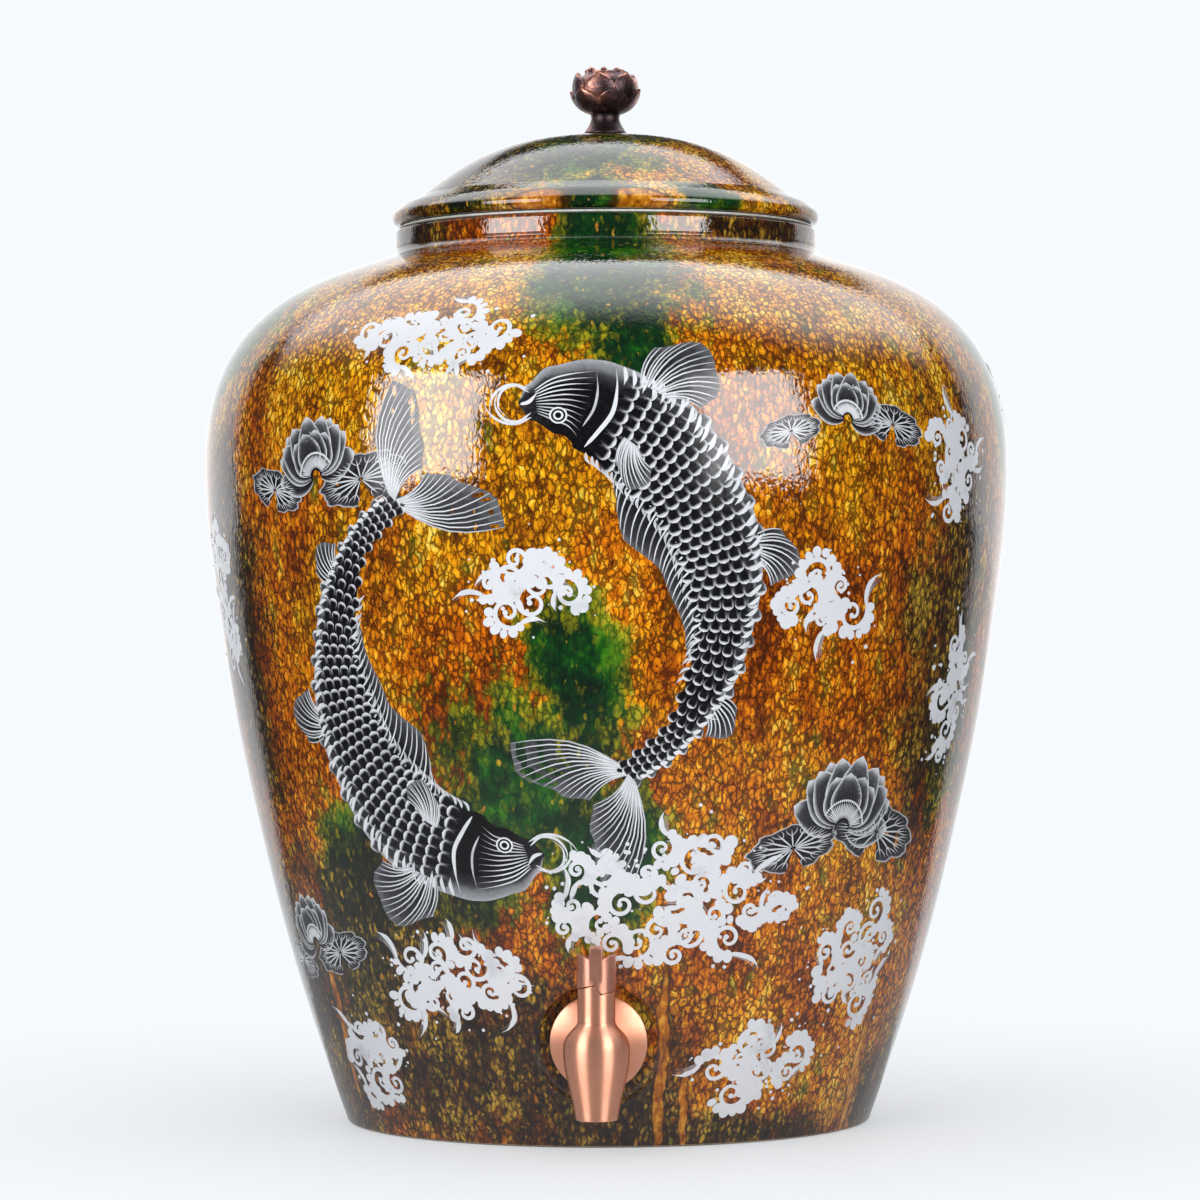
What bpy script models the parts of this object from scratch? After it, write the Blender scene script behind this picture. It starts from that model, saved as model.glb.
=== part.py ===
"""Stoneware drinks jar with a lift-off lid, a lotus-bud knob and a copper cam tap.

Metres, +Z up. The origin is the centre of the foot, on the surface the jar stands on,
and the tap faces -Y. Every turned piece is a profile of (radius, height) points.
"""
import math

import bmesh
import bpy
from mathutils import Vector

MM = 0.001
CLEAR = 0.3 * MM
OVERRUN = 1.0 * MM

# Jar, outside: knots of the wall as radius, height and lean out from the vertical in degrees
FOOT_RADIUS = 121.0 * MM
FLANK_RADIUS = 156.8 * MM
FLANK_HEIGHT = 120.0 * MM
HIP_RADIUS = 178.4 * MM
HIP_HEIGHT = 230.0 * MM
BELLY_RADIUS = 185.2 * MM
BELLY_HEIGHT = 303.0 * MM
SHOULDER_RADIUS = 158.6 * MM
SHOULDER_HEIGHT = 370.4 * MM
NECK_ROOT_WIDTH = 4.0 * MM
NECK_ROOT_HEIGHT = 397.4 * MM
FOOT_LEAN = 19.5
FLANK_LEAN = 13.2
HIP_LEAN = 8.2
SHOULDER_LEAN = -48.6
NECK_ROOT_LEAN = -72.0
SPAN_PULL = 0.36

# Jar, neck, wall and foot
NECK_RADIUS = 97.2 * MM
JAR_HEIGHT = 410.9 * MM
WALL = 9.6 * MM
RIM_ROUND = 2.0 * MM
COVE_RISE = 3.0 * MM
FLOOR = 12.0 * MM
FLOOR_FILLET = 10.0 * MM
FOOT_EDGE = 1.5 * MM
FOOT_RING = 15.0 * MM
FOOT_RECESS = 3.0 * MM
WALL_STEPS = (2, 2, 2, 4, 3)
INNER_WALL_STEPS = (2, 1, 1, 3, 2)
JAR_SIDES = 40

# Seat of the tap in the jar's leaning wall; distances run out from the jar's axis
TAP_HEIGHT = 47.5 * MM
SEAT_STANDOFF = -0.9 * MM
SEAT_RADIUS = 25.4 * MM
SEAT_WALL = 13.5 * MM
SEAT_SKIN = 0.5 * MM
SEAT_FLARE = 4.5 * MM
PAD_BORDER = 5.5 * MM
PAD_INSET = 3.0 * MM
HOLE_SLACK = 1.0 * MM
SPOT_FACE_BORDER = 2.0 * MM
SEAT_SIDES = 40

# Lid
LID_RADIUS = 98.8 * MM
LID_BAND = 6.8 * MM
LID_BAND_ROUND = 1.6 * MM
LID_BAND_TURN = 65.0
BRIM_WIDTH = 13.6 * MM
BRIM_RISE = 6.9 * MM
DOME_HEIGHT = 41.4 * MM
DOME_MID_RADIUS = 54.7 * MM
DOME_MID_DROP = 8.3 * MM
DOME_FOOT_LEAN = -53.0
DOME_MID_LEAN = -66.5
DOME_TOP_LEAN = -90.0
KNOB_FLAT_RADIUS = 11.5 * MM
LID_WALL = 8.0 * MM
SPIGOT_DEPTH = 13.5 * MM
SPIGOT_WALL = 7.0 * MM
SPIGOT_EDGE = 1.2 * MM
KNOB_HOLE_RADIUS = 3.4 * MM

# Seal ring, stretched round the lid's spigot and lying on the jar's rim
SEAL_THICKNESS = 1.1 * MM
SEAL_SLEEVE = 1.1 * MM
SEAL_FLANGE_INSET = 2.0 * MM
SEAL_DEPTH = 7.0 * MM
SEAL_RIB_RISE = 0.55 * MM
SEAL_RIB_PITCH = 2.7 * MM
TURN_CLEAR = 0.6 * MM

# Knob, its gasket and its screw
GASKET_THICKNESS = 0.6 * MM
KNOB_FOOT_RADIUS = 9.75 * MM
KNOB_FOOT_EDGE = 0.6 * MM
KNOB_WAIST_RADIUS = 6.4 * MM
KNOB_WAIST_RISE = 7.6 * MM
CUP_FOOT_RADIUS = 7.2 * MM
CUP_FOOT_RISE = 10.2 * MM
CUP_RADIUS = 12.8 * MM
CUP_RISE = 14.5 * MM
PETAL_NOTCH_RADIUS = 15.2 * MM
PETAL_TIP_RADIUS = 17.0 * MM
PETAL_TIP_RISE = 20.8 * MM
PETAL_DEPTH = 5.0 * MM
PETAL_LIP = 0.9 * MM
PETAL_THICKNESS = 1.5 * MM
INNER_NOTCH_RADIUS = 13.2 * MM
INNER_TIP_RADIUS = 14.9 * MM
INNER_TIP_RISE = 27.8 * MM
INNER_DEPTH = 4.4 * MM
CROWN_RADIUS = 8.8 * MM
CROWN_RISE = 4.2 * MM
CROWN_DISH = 2.4 * MM
BEAD_HEIGHT = 1.5 * MM
BEAD_WIDTH = 1.6 * MM
KNOB_HEIGHT = 31.3 * MM
PETALS = 6
BEADS = 8
KNOB_SIDES = 48
SCREW_RADIUS = 2.4 * MM
SCREW_GRIP = 11.0 * MM
SCREW_HEAD_RADIUS = 4.8 * MM
SCREW_HEAD_HEIGHT = 2.8 * MM
SCREW_WASHER_RADIUS = 8.5 * MM
SCREW_WASHER_THICKNESS = 1.0 * MM
SCREW_SLOT_WIDTH = 1.2 * MM
SCREW_SLOT_DEPTH = 1.3 * MM
SCREW_HEAD_EDGE = 1.4 * MM

# Tap: the upright barrel, bulb and spout; heights above the foot of the jar
BARREL_REACH = 27.0 * MM
BARREL_RADIUS = 8.15 * MM
BULB_RADIUS = 14.4 * MM
BULB_HEIGHT = 47.4 * MM
BULB_CROWN_RADIUS = 11.5 * MM
BULB_CROWN_HEIGHT = 54.7 * MM
BULB_CROWN_LEAN = -41.0
BARREL_FOOT_HEIGHT = 59.6 * MM
SPOUT_RADIUS = 9.1 * MM
SPOUT_HEIGHT = 17.0 * MM
SPOUT_LIP = 0.7 * MM
SPOUT_WALL = 1.9 * MM
SPOUT_TAPER = 0.4 * MM
SPOUT_LEAN = 8.0
BORE_RADIUS = 6.7 * MM
VALVE_SEAT_RADIUS = 4.3 * MM
VALVE_SEAT_HEIGHT = 38.2 * MM
VALVE_SEAT_DEPTH = 3.6 * MM
SPOUT_THROAT_DROP = 8.5 * MM
CAM_HEIGHT = 71.0 * MM
CAM_RISE = 3.6 * MM
CAM_STEPS = 2
CAM_STEP_ANGLE = 24.0
CAM_STEP_AT = -84.0
CAM_CLEAR = 0.4 * MM
TAP_SIDES = 32

# Tap: the shank through the wall and what clamps it
SHANK_RADIUS = 7.8 * MM
SHANK_BORE = 4.6 * MM
SHANK_TAIL = 2.8 * MM
SHANK_CHAMFER = 1.0 * MM
SHOULDER_RING_RADIUS = 9.4 * MM
FLANGE_RADIUS = 21.15 * MM
FLANGE_RIM = 1.0 * MM
FLANGE_SHEET = 1.4 * MM
FLANGE_EDGE = 0.4 * MM
FLANGE_SLOPE = 1.5 * MM
FLANGE_SHOULDER = 4.5 * MM
FLANGE_CROWN = 2.5 * MM
OUTER_WASHER_RADIUS = 14.5 * MM
OUTER_WASHER = 2.0 * MM
INNER_WASHER_RADIUS = 14.0 * MM
INNER_WASHER = 2.2 * MM
NUT_WASHER_RADIUS = 14.6 * MM
NUT_WASHER = 1.2 * MM
NUT_ACROSS_FLATS = 24.0 * MM
NUT_HEIGHT = 6.0 * MM

# Tap: gland, stem, stopper and spring on the barrel's axis
GLAND_HEIGHT = 60.0 * MM
GLAND_LENGTH = 9.6 * MM
GLAND_SLOT = 1.6 * MM
GLAND_SLOT_DEPTH = 1.4 * MM
O_RING_SECTION = 0.75 * MM
O_RING_SLACK = 0.1 * MM
O_RING_GROOVE_RISE = 3.4 * MM
O_RING_GROOVE = 2.4 * MM
STEM_RADIUS = 2.5 * MM
STEM_NECK_RADIUS = 1.9 * MM
STEM_BUTTON_RADIUS = 3.1 * MM
STEM_BUTTON = 1.8 * MM
STEM_GRIP = 5.7 * MM
STEM_FLAT = 0.5 * MM
COLLAR_RADIUS = 5.9 * MM
COLLAR_HEIGHT = 48.6 * MM
COLLAR = 1.2 * MM
STOPPER_RADIUS = 6.2 * MM
STOPPER_LENGTH = 7.0 * MM
STOPPER_SOLE = 2.6 * MM
STOPPER_EDGE = 0.8 * MM
SPRING_RADIUS = 4.1 * MM
SPRING_WIRE = 0.4 * MM
SPRING_TURNS = 5
SPRING_POINTS_PER_TURN = 10

# Tap: the handle that rides on the cam
HANDLE_RADIUS = 8.35 * MM
HANDLE_SKIRT_HEIGHT = 77.0 * MM
HANDLE_SKIRT_BORE = 6.4 * MM
VALLEY_HEIGHT = 84.9 * MM
VALLEY_ANGLE = 21.0
FIN_WIDTH = 5.45 * MM
FIN_TOP = 90.9 * MM
FIN_BROW_HEIGHT = 88.0 * MM
FIN_REACH = 9.4 * MM
FIN_FOOT_HEIGHT = 75.8 * MM
FIN_ROUND = 1.7 * MM
FIN_HEEL = 2.0 * MM
FIN_SLOPE = 1.6 * MM
FIN_DROP = 1.2 * MM
FIN_SETBACK = 0.4 * MM
GRUB_DROP = 2.3 * MM
GRUB_RADIUS = 1.5 * MM
GRUB_LENGTH = 5.0 * MM
GRUB_SOCKET = 1.5 * MM
GRUB_SOCKET_DEPTH = 1.8 * MM

MOUTH_RADIUS = NECK_RADIUS - WALL
LID_SEAT = JAR_HEIGHT + SEAL_THICKNESS + 2 * CLEAR
SEAL_RIB_RADIUS = MOUTH_RADIUS - 1.5 * CLEAR
SEAL_OUTER = SEAL_RIB_RADIUS - SEAL_RIB_RISE
SEAL_INNER = SEAL_OUTER - SEAL_SLEEVE
SPIGOT_RADIUS = SEAL_INNER - TURN_CLEAR
DOME_FOOT = LID_SEAT + LID_BAND + BRIM_RISE
DOME_TOP = LID_SEAT + DOME_HEIGHT
KNOB_BASE = DOME_TOP + GASKET_THICKNESS + 2 * CLEAR
THREAD_HOLE = SHANK_RADIUS + CLEAR
STEM_TOP_HEIGHT = HANDLE_SKIRT_HEIGHT + STEM_GRIP
GRUB_HEIGHT = STEM_TOP_HEIGHT - GRUB_DROP
FULL_TURN = 2 * math.pi


def clear_scene():
    """Remove whatever objects the file holds."""
    for old in list(bpy.data.objects):
        bpy.data.objects.remove(old)


def make_material(name, color, roughness, metallic):
    """One Principled material in the colour and finish of a part."""
    material = bpy.data.materials.new(name)
    material.use_nodes = True
    shader = material.node_tree.nodes["Principled BSDF"]
    shader.inputs["Base Color"].default_value = (*color, 1.0)
    shader.inputs["Roughness"].default_value = roughness
    shader.inputs["Metallic"].default_value = metallic
    return material


def place(bm, name, material, at=(0, 0, 0), turn=(0, 0, 0), crease=35.0):
    """Turn a bmesh into a linked object with outward faces and smooth rounds."""
    bmesh.ops.remove_doubles(bm, verts=bm.verts, dist=1e-7)
    bmesh.ops.recalc_face_normals(bm, faces=bm.faces)
    mesh = bpy.data.meshes.new(name)
    bm.to_mesh(mesh)
    bm.free()
    mesh.shade_smooth()
    mesh.set_sharp_from_angle(angle=math.radians(crease))
    if material is not None:
        mesh.materials.append(material)
    thing = bpy.data.objects.new(name, mesh)
    thing.location = at
    thing.rotation_euler = turn
    bpy.context.scene.collection.objects.link(thing)
    return thing


def as_tool(thing):
    """Mark a piece as a cutter or a blank that only shapes another piece."""
    thing.hide_render = True
    thing.display_type = "WIRE"
    return thing


def combine(thing, tool, operation):
    """Add, cut or keep the common part of a piece and a tool."""
    step = thing.modifiers.new(tool.name, "BOOLEAN")
    step.operation = operation
    step.solver = "EXACT"
    step.object = tool
    return step


def spun(profile, sides, closed):
    """Spin a profile of (radius, height) points about Z; closed joins its ends."""
    bm = bmesh.new()
    points = [bm.verts.new((radius, 0, height)) for radius, height in profile]
    pairs = list(zip(points, points[1:]))
    if closed:
        pairs.append((points[-1], points[0]))
    edges = [bm.edges.new(pair) for pair in pairs]
    bmesh.ops.spin(bm, geom=points + edges, cent=(0, 0, 0), axis=(0, 0, 1),
                   steps=sides, angle=FULL_TURN, use_merge=True)
    bmesh.ops.remove_doubles(bm, verts=bm.verts, dist=1e-7)
    return bm


def turned(name, profile, sides, material=None, closed=False, at=(0, 0, 0), turn=(0, 0, 0)):
    """A turned piece; an open profile starts and ends on the axis."""
    return place(spun(profile, sides, closed), name, material, at, turn)


def rod(name, radius, low, high, sides, at=(0, 0, 0), turn=(0, 0, 0)):
    """A plain round tool between two heights."""
    profile = [(0, low), (radius, low), (radius, high), (0, high)]
    return as_tool(turned(name, profile, sides, at=at, turn=turn))


def prism(name, outline, low, high, material=None, at=(0, 0, 0), turn=(0, 0, 0)):
    """Extrude an outline of (x, y) points from one height to another."""
    bm = bmesh.new()
    face = bm.faces.new([bm.verts.new((x, y, low)) for x, y in outline])
    grown = bmesh.ops.extrude_face_region(bm, geom=[face])
    top = [item for item in grown["geom"] if isinstance(item, bmesh.types.BMVert)]
    bmesh.ops.translate(bm, verts=top, vec=(0, 0, high - low))
    return place(bm, name, material, at, turn)


def span(start, end, steps):
    """Points of a cubic curve between two knots of radius, height and lean."""
    a = Vector(start[:2])
    b = Vector(end[:2])
    reach = (b - a).length * SPAN_PULL
    lean_a = math.radians(start[2])
    lean_b = math.radians(end[2])
    a_pull = a + reach * Vector((math.sin(lean_a), math.cos(lean_a)))
    b_pull = b - reach * Vector((math.sin(lean_b), math.cos(lean_b)))
    points = []
    for step in range(steps):
        t = step / steps
        u = 1 - t
        point = u**3 * a + 3 * u * u * t * a_pull + 3 * u * t * t * b_pull + t**3 * b
        points.append((point.x, point.y))
    return points


def outline(knots, steps):
    """Points of a smooth line through knots, with the given steps in each span."""
    points = []
    for start, end, count in zip(knots, knots[1:], steps):
        points += span(start, end, count)
    return points + [knots[-1][:2]]


def inset(points, depth):
    """The same line moved inwards, square to itself, as the inside of a wall."""
    moved = []
    for index, (radius, height) in enumerate(points):
        before = Vector(points[max(index - 1, 0)])
        after = Vector(points[min(index + 1, len(points) - 1)])
        along = (after - before).normalized()
        moved.append((radius - depth * along.y, height + depth * along.x))
    return moved


def arc(centre, radius, start, end, steps):
    """Points round a centre from one angle to another, in degrees."""
    points = []
    for step in range(steps + 1):
        angle = math.radians(start + (end - start) * step / steps)
        points.append((centre[0] + radius * math.cos(angle), centre[1] + radius * math.sin(angle)))
    return points


def polygon(sides, across_flats):
    """A regular outline with the given distance across its flats."""
    radius = across_flats / 2 / math.cos(math.pi / sides)
    angles = [FULL_TURN * (side + 0.5) / sides for side in range(sides)]
    return [(radius * math.cos(angle), radius * math.sin(angle)) for angle in angles]


def bar(reach, width):
    """The outline of a long cutter through the axis, as wide as the slot it cuts."""
    return [(-reach, -width / 2), (reach, -width / 2), (reach, width / 2), (-reach, width / 2)]


# The jar: thrown stoneware, one wall from the foot ring to the rim


def jar_wall(steps):
    """Outer line of the wall, from the foot to the root of the neck."""
    root = NECK_RADIUS + NECK_ROOT_WIDTH
    knots = [
        (FOOT_RADIUS, FOOT_EDGE, FOOT_LEAN),
        (FLANK_RADIUS, FLANK_HEIGHT, FLANK_LEAN),
        (HIP_RADIUS, HIP_HEIGHT, HIP_LEAN),
        (BELLY_RADIUS, BELLY_HEIGHT, 0.0),
        (SHOULDER_RADIUS, SHOULDER_HEIGHT, SHOULDER_LEAN),
        (root, NECK_ROOT_HEIGHT, NECK_ROOT_LEAN),
    ]
    return outline(knots, steps)


def wall_radius(height):
    """Radius of the wall's outer line at a height."""
    points = jar_wall(WALL_STEPS)
    for (low_radius, low), (high_radius, high) in zip(points, points[1:]):
        if low <= height <= high:
            return low_radius + (high_radius - low_radius) * (height - low) / (high - low)
    return points[-1][0]


OUTWARD = (math.radians(90), 0, 0)
SEAT_DISTANCE = wall_radius(TAP_HEIGHT) + SEAT_STANDOFF
PAD_INNER_FACE = SEAT_DISTANCE - SEAT_WALL
FLANGE_BACK = SEAT_DISTANCE + CLEAR
FLANGE_FRONT = FLANGE_BACK + OUTER_WASHER + CLEAR + FLANGE_SHEET
TAP_AXIS = SEAT_DISTANCE + BARREL_REACH
SHANK_ORIGIN = (0, 0, TAP_HEIGHT)
BARREL_ORIGIN = (0, -TAP_AXIS, 0)


def jar_profile():
    """The whole wall: floor, foot ring, outside, neck, rim and inside."""
    outside = jar_wall(WALL_STEPS)
    foot_inner = FOOT_RADIUS - FOOT_EDGE - FOOT_RING
    profile = [
        (0, FOOT_RECESS),
        (foot_inner - FOOT_RECESS, FOOT_RECESS),
        (foot_inner, 0),
        (FOOT_RADIUS - FOOT_EDGE, 0),
    ]
    profile += outside
    profile.append((NECK_RADIUS, NECK_ROOT_HEIGHT + COVE_RISE))
    profile += arc((NECK_RADIUS - RIM_ROUND, JAR_HEIGHT - RIM_ROUND), RIM_ROUND, 0, 90, 1)
    profile += arc((MOUTH_RADIUS + RIM_ROUND, JAR_HEIGHT - RIM_ROUND), RIM_ROUND, 90, 180, 1)
    profile.append((MOUTH_RADIUS, NECK_ROOT_HEIGHT - WALL / 2))
    inside = inset(jar_wall(INNER_WALL_STEPS), WALL)
    lowest = FLOOR + FLOOR_FILLET
    profile += [point for point in reversed(inside[:-1]) if point[1] > lowest]
    corner = profile[-1][0] - (profile[-1][1] - lowest) * math.tan(math.radians(FOOT_LEAN))
    profile += arc((corner - FLOOR_FILLET, lowest), FLOOR_FILLET, 0, -90, 2)
    profile.append((0, FLOOR))
    return profile


def build_jar(glaze):
    """The jar with an upright seat for the tap let into its leaning wall."""
    jar = turned("jar_body", jar_profile(), JAR_SIDES, glaze)
    core = inset(jar_wall(WALL_STEPS), PAD_INSET)
    core = [(0, CLEAR + FOOT_RECESS)] + core + [(0, NECK_ROOT_HEIGHT - WALL)]
    core = as_tool(turned("pad_limit", core, JAR_SIDES))
    beyond = SEAT_DISTANCE + SEAT_RADIUS
    pad_radius = SEAT_RADIUS + PAD_BORDER
    pad_face = PAD_INNER_FACE - SEAT_SKIN
    pad = rod("seat_pad", pad_radius, pad_face, beyond, SEAT_SIDES, SHANK_ORIGIN, OUTWARD)
    combine(pad, core, "INTERSECT")
    skin = SEAT_DISTANCE + SEAT_SKIN
    boss = [
        (0, PAD_INNER_FACE + WALL / 4),
        (SEAT_RADIUS + SEAT_FLARE, PAD_INNER_FACE + WALL / 4),
        (SEAT_RADIUS + SEAT_FLARE / 3, SEAT_DISTANCE - SEAT_FLARE),
        (SEAT_RADIUS, SEAT_DISTANCE - SEAT_FLARE / 4),
        (SEAT_RADIUS - SEAT_SKIN, skin),
        (0, skin),
    ]
    boss = as_tool(turned("seat_boss", boss, SEAT_SIDES, at=SHANK_ORIGIN, turn=OUTWARD))
    hole_radius = SHANK_RADIUS + HOLE_SLACK
    spot_radius = NUT_WASHER_RADIUS + SPOT_FACE_BORDER
    opening = [
        (0, PAD_INNER_FACE - WALL),
        (spot_radius, PAD_INNER_FACE - WALL),
        (spot_radius, PAD_INNER_FACE),
        (hole_radius, PAD_INNER_FACE),
        (hole_radius, SEAT_DISTANCE),
        (SEAT_RADIUS + SEAT_SKIN, SEAT_DISTANCE),
        (SEAT_RADIUS + SEAT_SKIN, beyond),
        (0, beyond),
    ]
    opening = as_tool(turned("seat_cutter", opening, SEAT_SIDES, at=SHANK_ORIGIN, turn=OUTWARD))
    combine(jar, pad, "UNION")
    combine(jar, boss, "UNION")
    combine(jar, opening, "DIFFERENCE")


# The lid: a stoneware dome with a flat brim and a spigot that drops into the mouth


def dome_line(steps):
    """Outer line of the dome, from the brim to the flat under the knob."""
    foot_radius = LID_RADIUS - BRIM_WIDTH
    knots = [
        (foot_radius, DOME_FOOT, DOME_FOOT_LEAN),
        (DOME_MID_RADIUS, DOME_TOP - DOME_MID_DROP, DOME_MID_LEAN),
        (KNOB_FLAT_RADIUS, DOME_TOP, DOME_TOP_LEAN),
    ]
    return outline(knots, steps)


def lid_profile():
    """Closed section of the lid round its screw hole."""
    band_top = LID_SEAT + LID_BAND
    round_in = LID_RADIUS - LID_BAND_ROUND
    profile = [(SPIGOT_RADIUS, LID_SEAT)]
    profile += arc((round_in, LID_SEAT + LID_BAND_ROUND), LID_BAND_ROUND, -90, 0, 2)
    profile += arc((round_in, band_top - LID_BAND_ROUND), LID_BAND_ROUND, 0, LID_BAND_TURN, 2)
    profile += dome_line((3, 3))
    profile.append((KNOB_HOLE_RADIUS, DOME_TOP))
    inside = inset(dome_line((2, 2)), LID_WALL)
    spigot_inner = SPIGOT_RADIUS - SPIGOT_WALL
    spigot_foot = LID_SEAT - SPIGOT_DEPTH
    profile.append((KNOB_HOLE_RADIUS, DOME_TOP - LID_WALL))
    profile += [point for point in reversed(inside) if point[0] < spigot_inner]
    profile += [
        (spigot_inner, LID_SEAT),
        (spigot_inner, spigot_foot + SPIGOT_EDGE),
        (spigot_inner + SPIGOT_EDGE, spigot_foot),
        (SPIGOT_RADIUS - SPIGOT_EDGE, spigot_foot),
        (SPIGOT_RADIUS, spigot_foot + SPIGOT_EDGE),
    ]
    return profile


def build_lid(glaze, silicone):
    """The lid and the seal ring round its spigot."""
    turned("lid", lid_profile(), JAR_SIDES, glaze, closed=True)
    flange_top = JAR_HEIGHT + CLEAR + SEAL_THICKNESS
    flange_low = JAR_HEIGHT + CLEAR
    flange_edge = NECK_RADIUS - SEAL_FLANGE_INSET
    rib_top = flange_low - SEAL_RIB_PITCH / 2
    seal = [
        (SEAL_INNER, flange_low - SEAL_DEPTH),
        (SEAL_OUTER, flange_low - SEAL_DEPTH),
        (SEAL_OUTER, rib_top - 1.5 * SEAL_RIB_PITCH),
        (SEAL_RIB_RADIUS, rib_top - 1.25 * SEAL_RIB_PITCH),
        (SEAL_OUTER, rib_top - 0.75 * SEAL_RIB_PITCH),
        (SEAL_RIB_RADIUS, rib_top - 0.25 * SEAL_RIB_PITCH),
        (SEAL_OUTER, rib_top),
        (SEAL_OUTER, flange_low),
        (flange_edge, flange_low),
        (flange_edge, flange_top),
        (SEAL_INNER, flange_top),
    ]
    turned("lid_seal_ring", seal, JAR_SIDES, silicone, closed=True)


# The knob: a cast lotus bud on a flared foot, screwed on from under the lid


def petal_edge(angle, count, shift):
    """Height of a petal's edge as a share of its tip: 1 at the tip, 0 between petals."""
    place_in_petal = (angle * count / FULL_TURN + shift) % 1.0
    across = abs(2 * place_in_petal - 1)
    return 1 - across**1.4


def bud_ring(radius, rise, swell=0.0, lift=0.0, count=PETALS, shift=0.5):
    """One ring of the bud, swollen and lifted at each petal's tip."""
    points = []
    for side in range(KNOB_SIDES):
        angle = FULL_TURN * side / KNOB_SIDES
        edge = petal_edge(angle, count, shift)
        reach = radius + swell * edge
        height = KNOB_BASE + rise + lift * edge
        points.append((reach * math.cos(angle), reach * math.sin(angle), height))
    return points


def inner_ring(radius, rise, swell=0.0, lift=0.0):
    """One ring of the inner petals, whose tips stand over the outer notches."""
    return bud_ring(radius, rise, swell, lift, shift=0.0)


def crown_ring(radius, rise, swell=0.0, lift=0.0):
    """One ring of the beaded crown."""
    return bud_ring(radius, rise, swell, lift, BEADS)


def skin(bm, rings):
    """Bridge rings of equal length; a ring of one point is the end of the skin."""
    rows = [[bm.verts.new(point) for point in ring] for ring in rings]
    for low, high in zip(rows, rows[1:]):
        for side in range(max(len(low), len(high))):
            corners = [low[side % len(low)], low[(side + 1) % len(low)]]
            corners += [high[(side + 1) % len(high)], high[side % len(high)]]
            face = []
            for corner in corners:
                if corner not in face:
                    face.append(corner)
            bm.faces.new(face)


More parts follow.
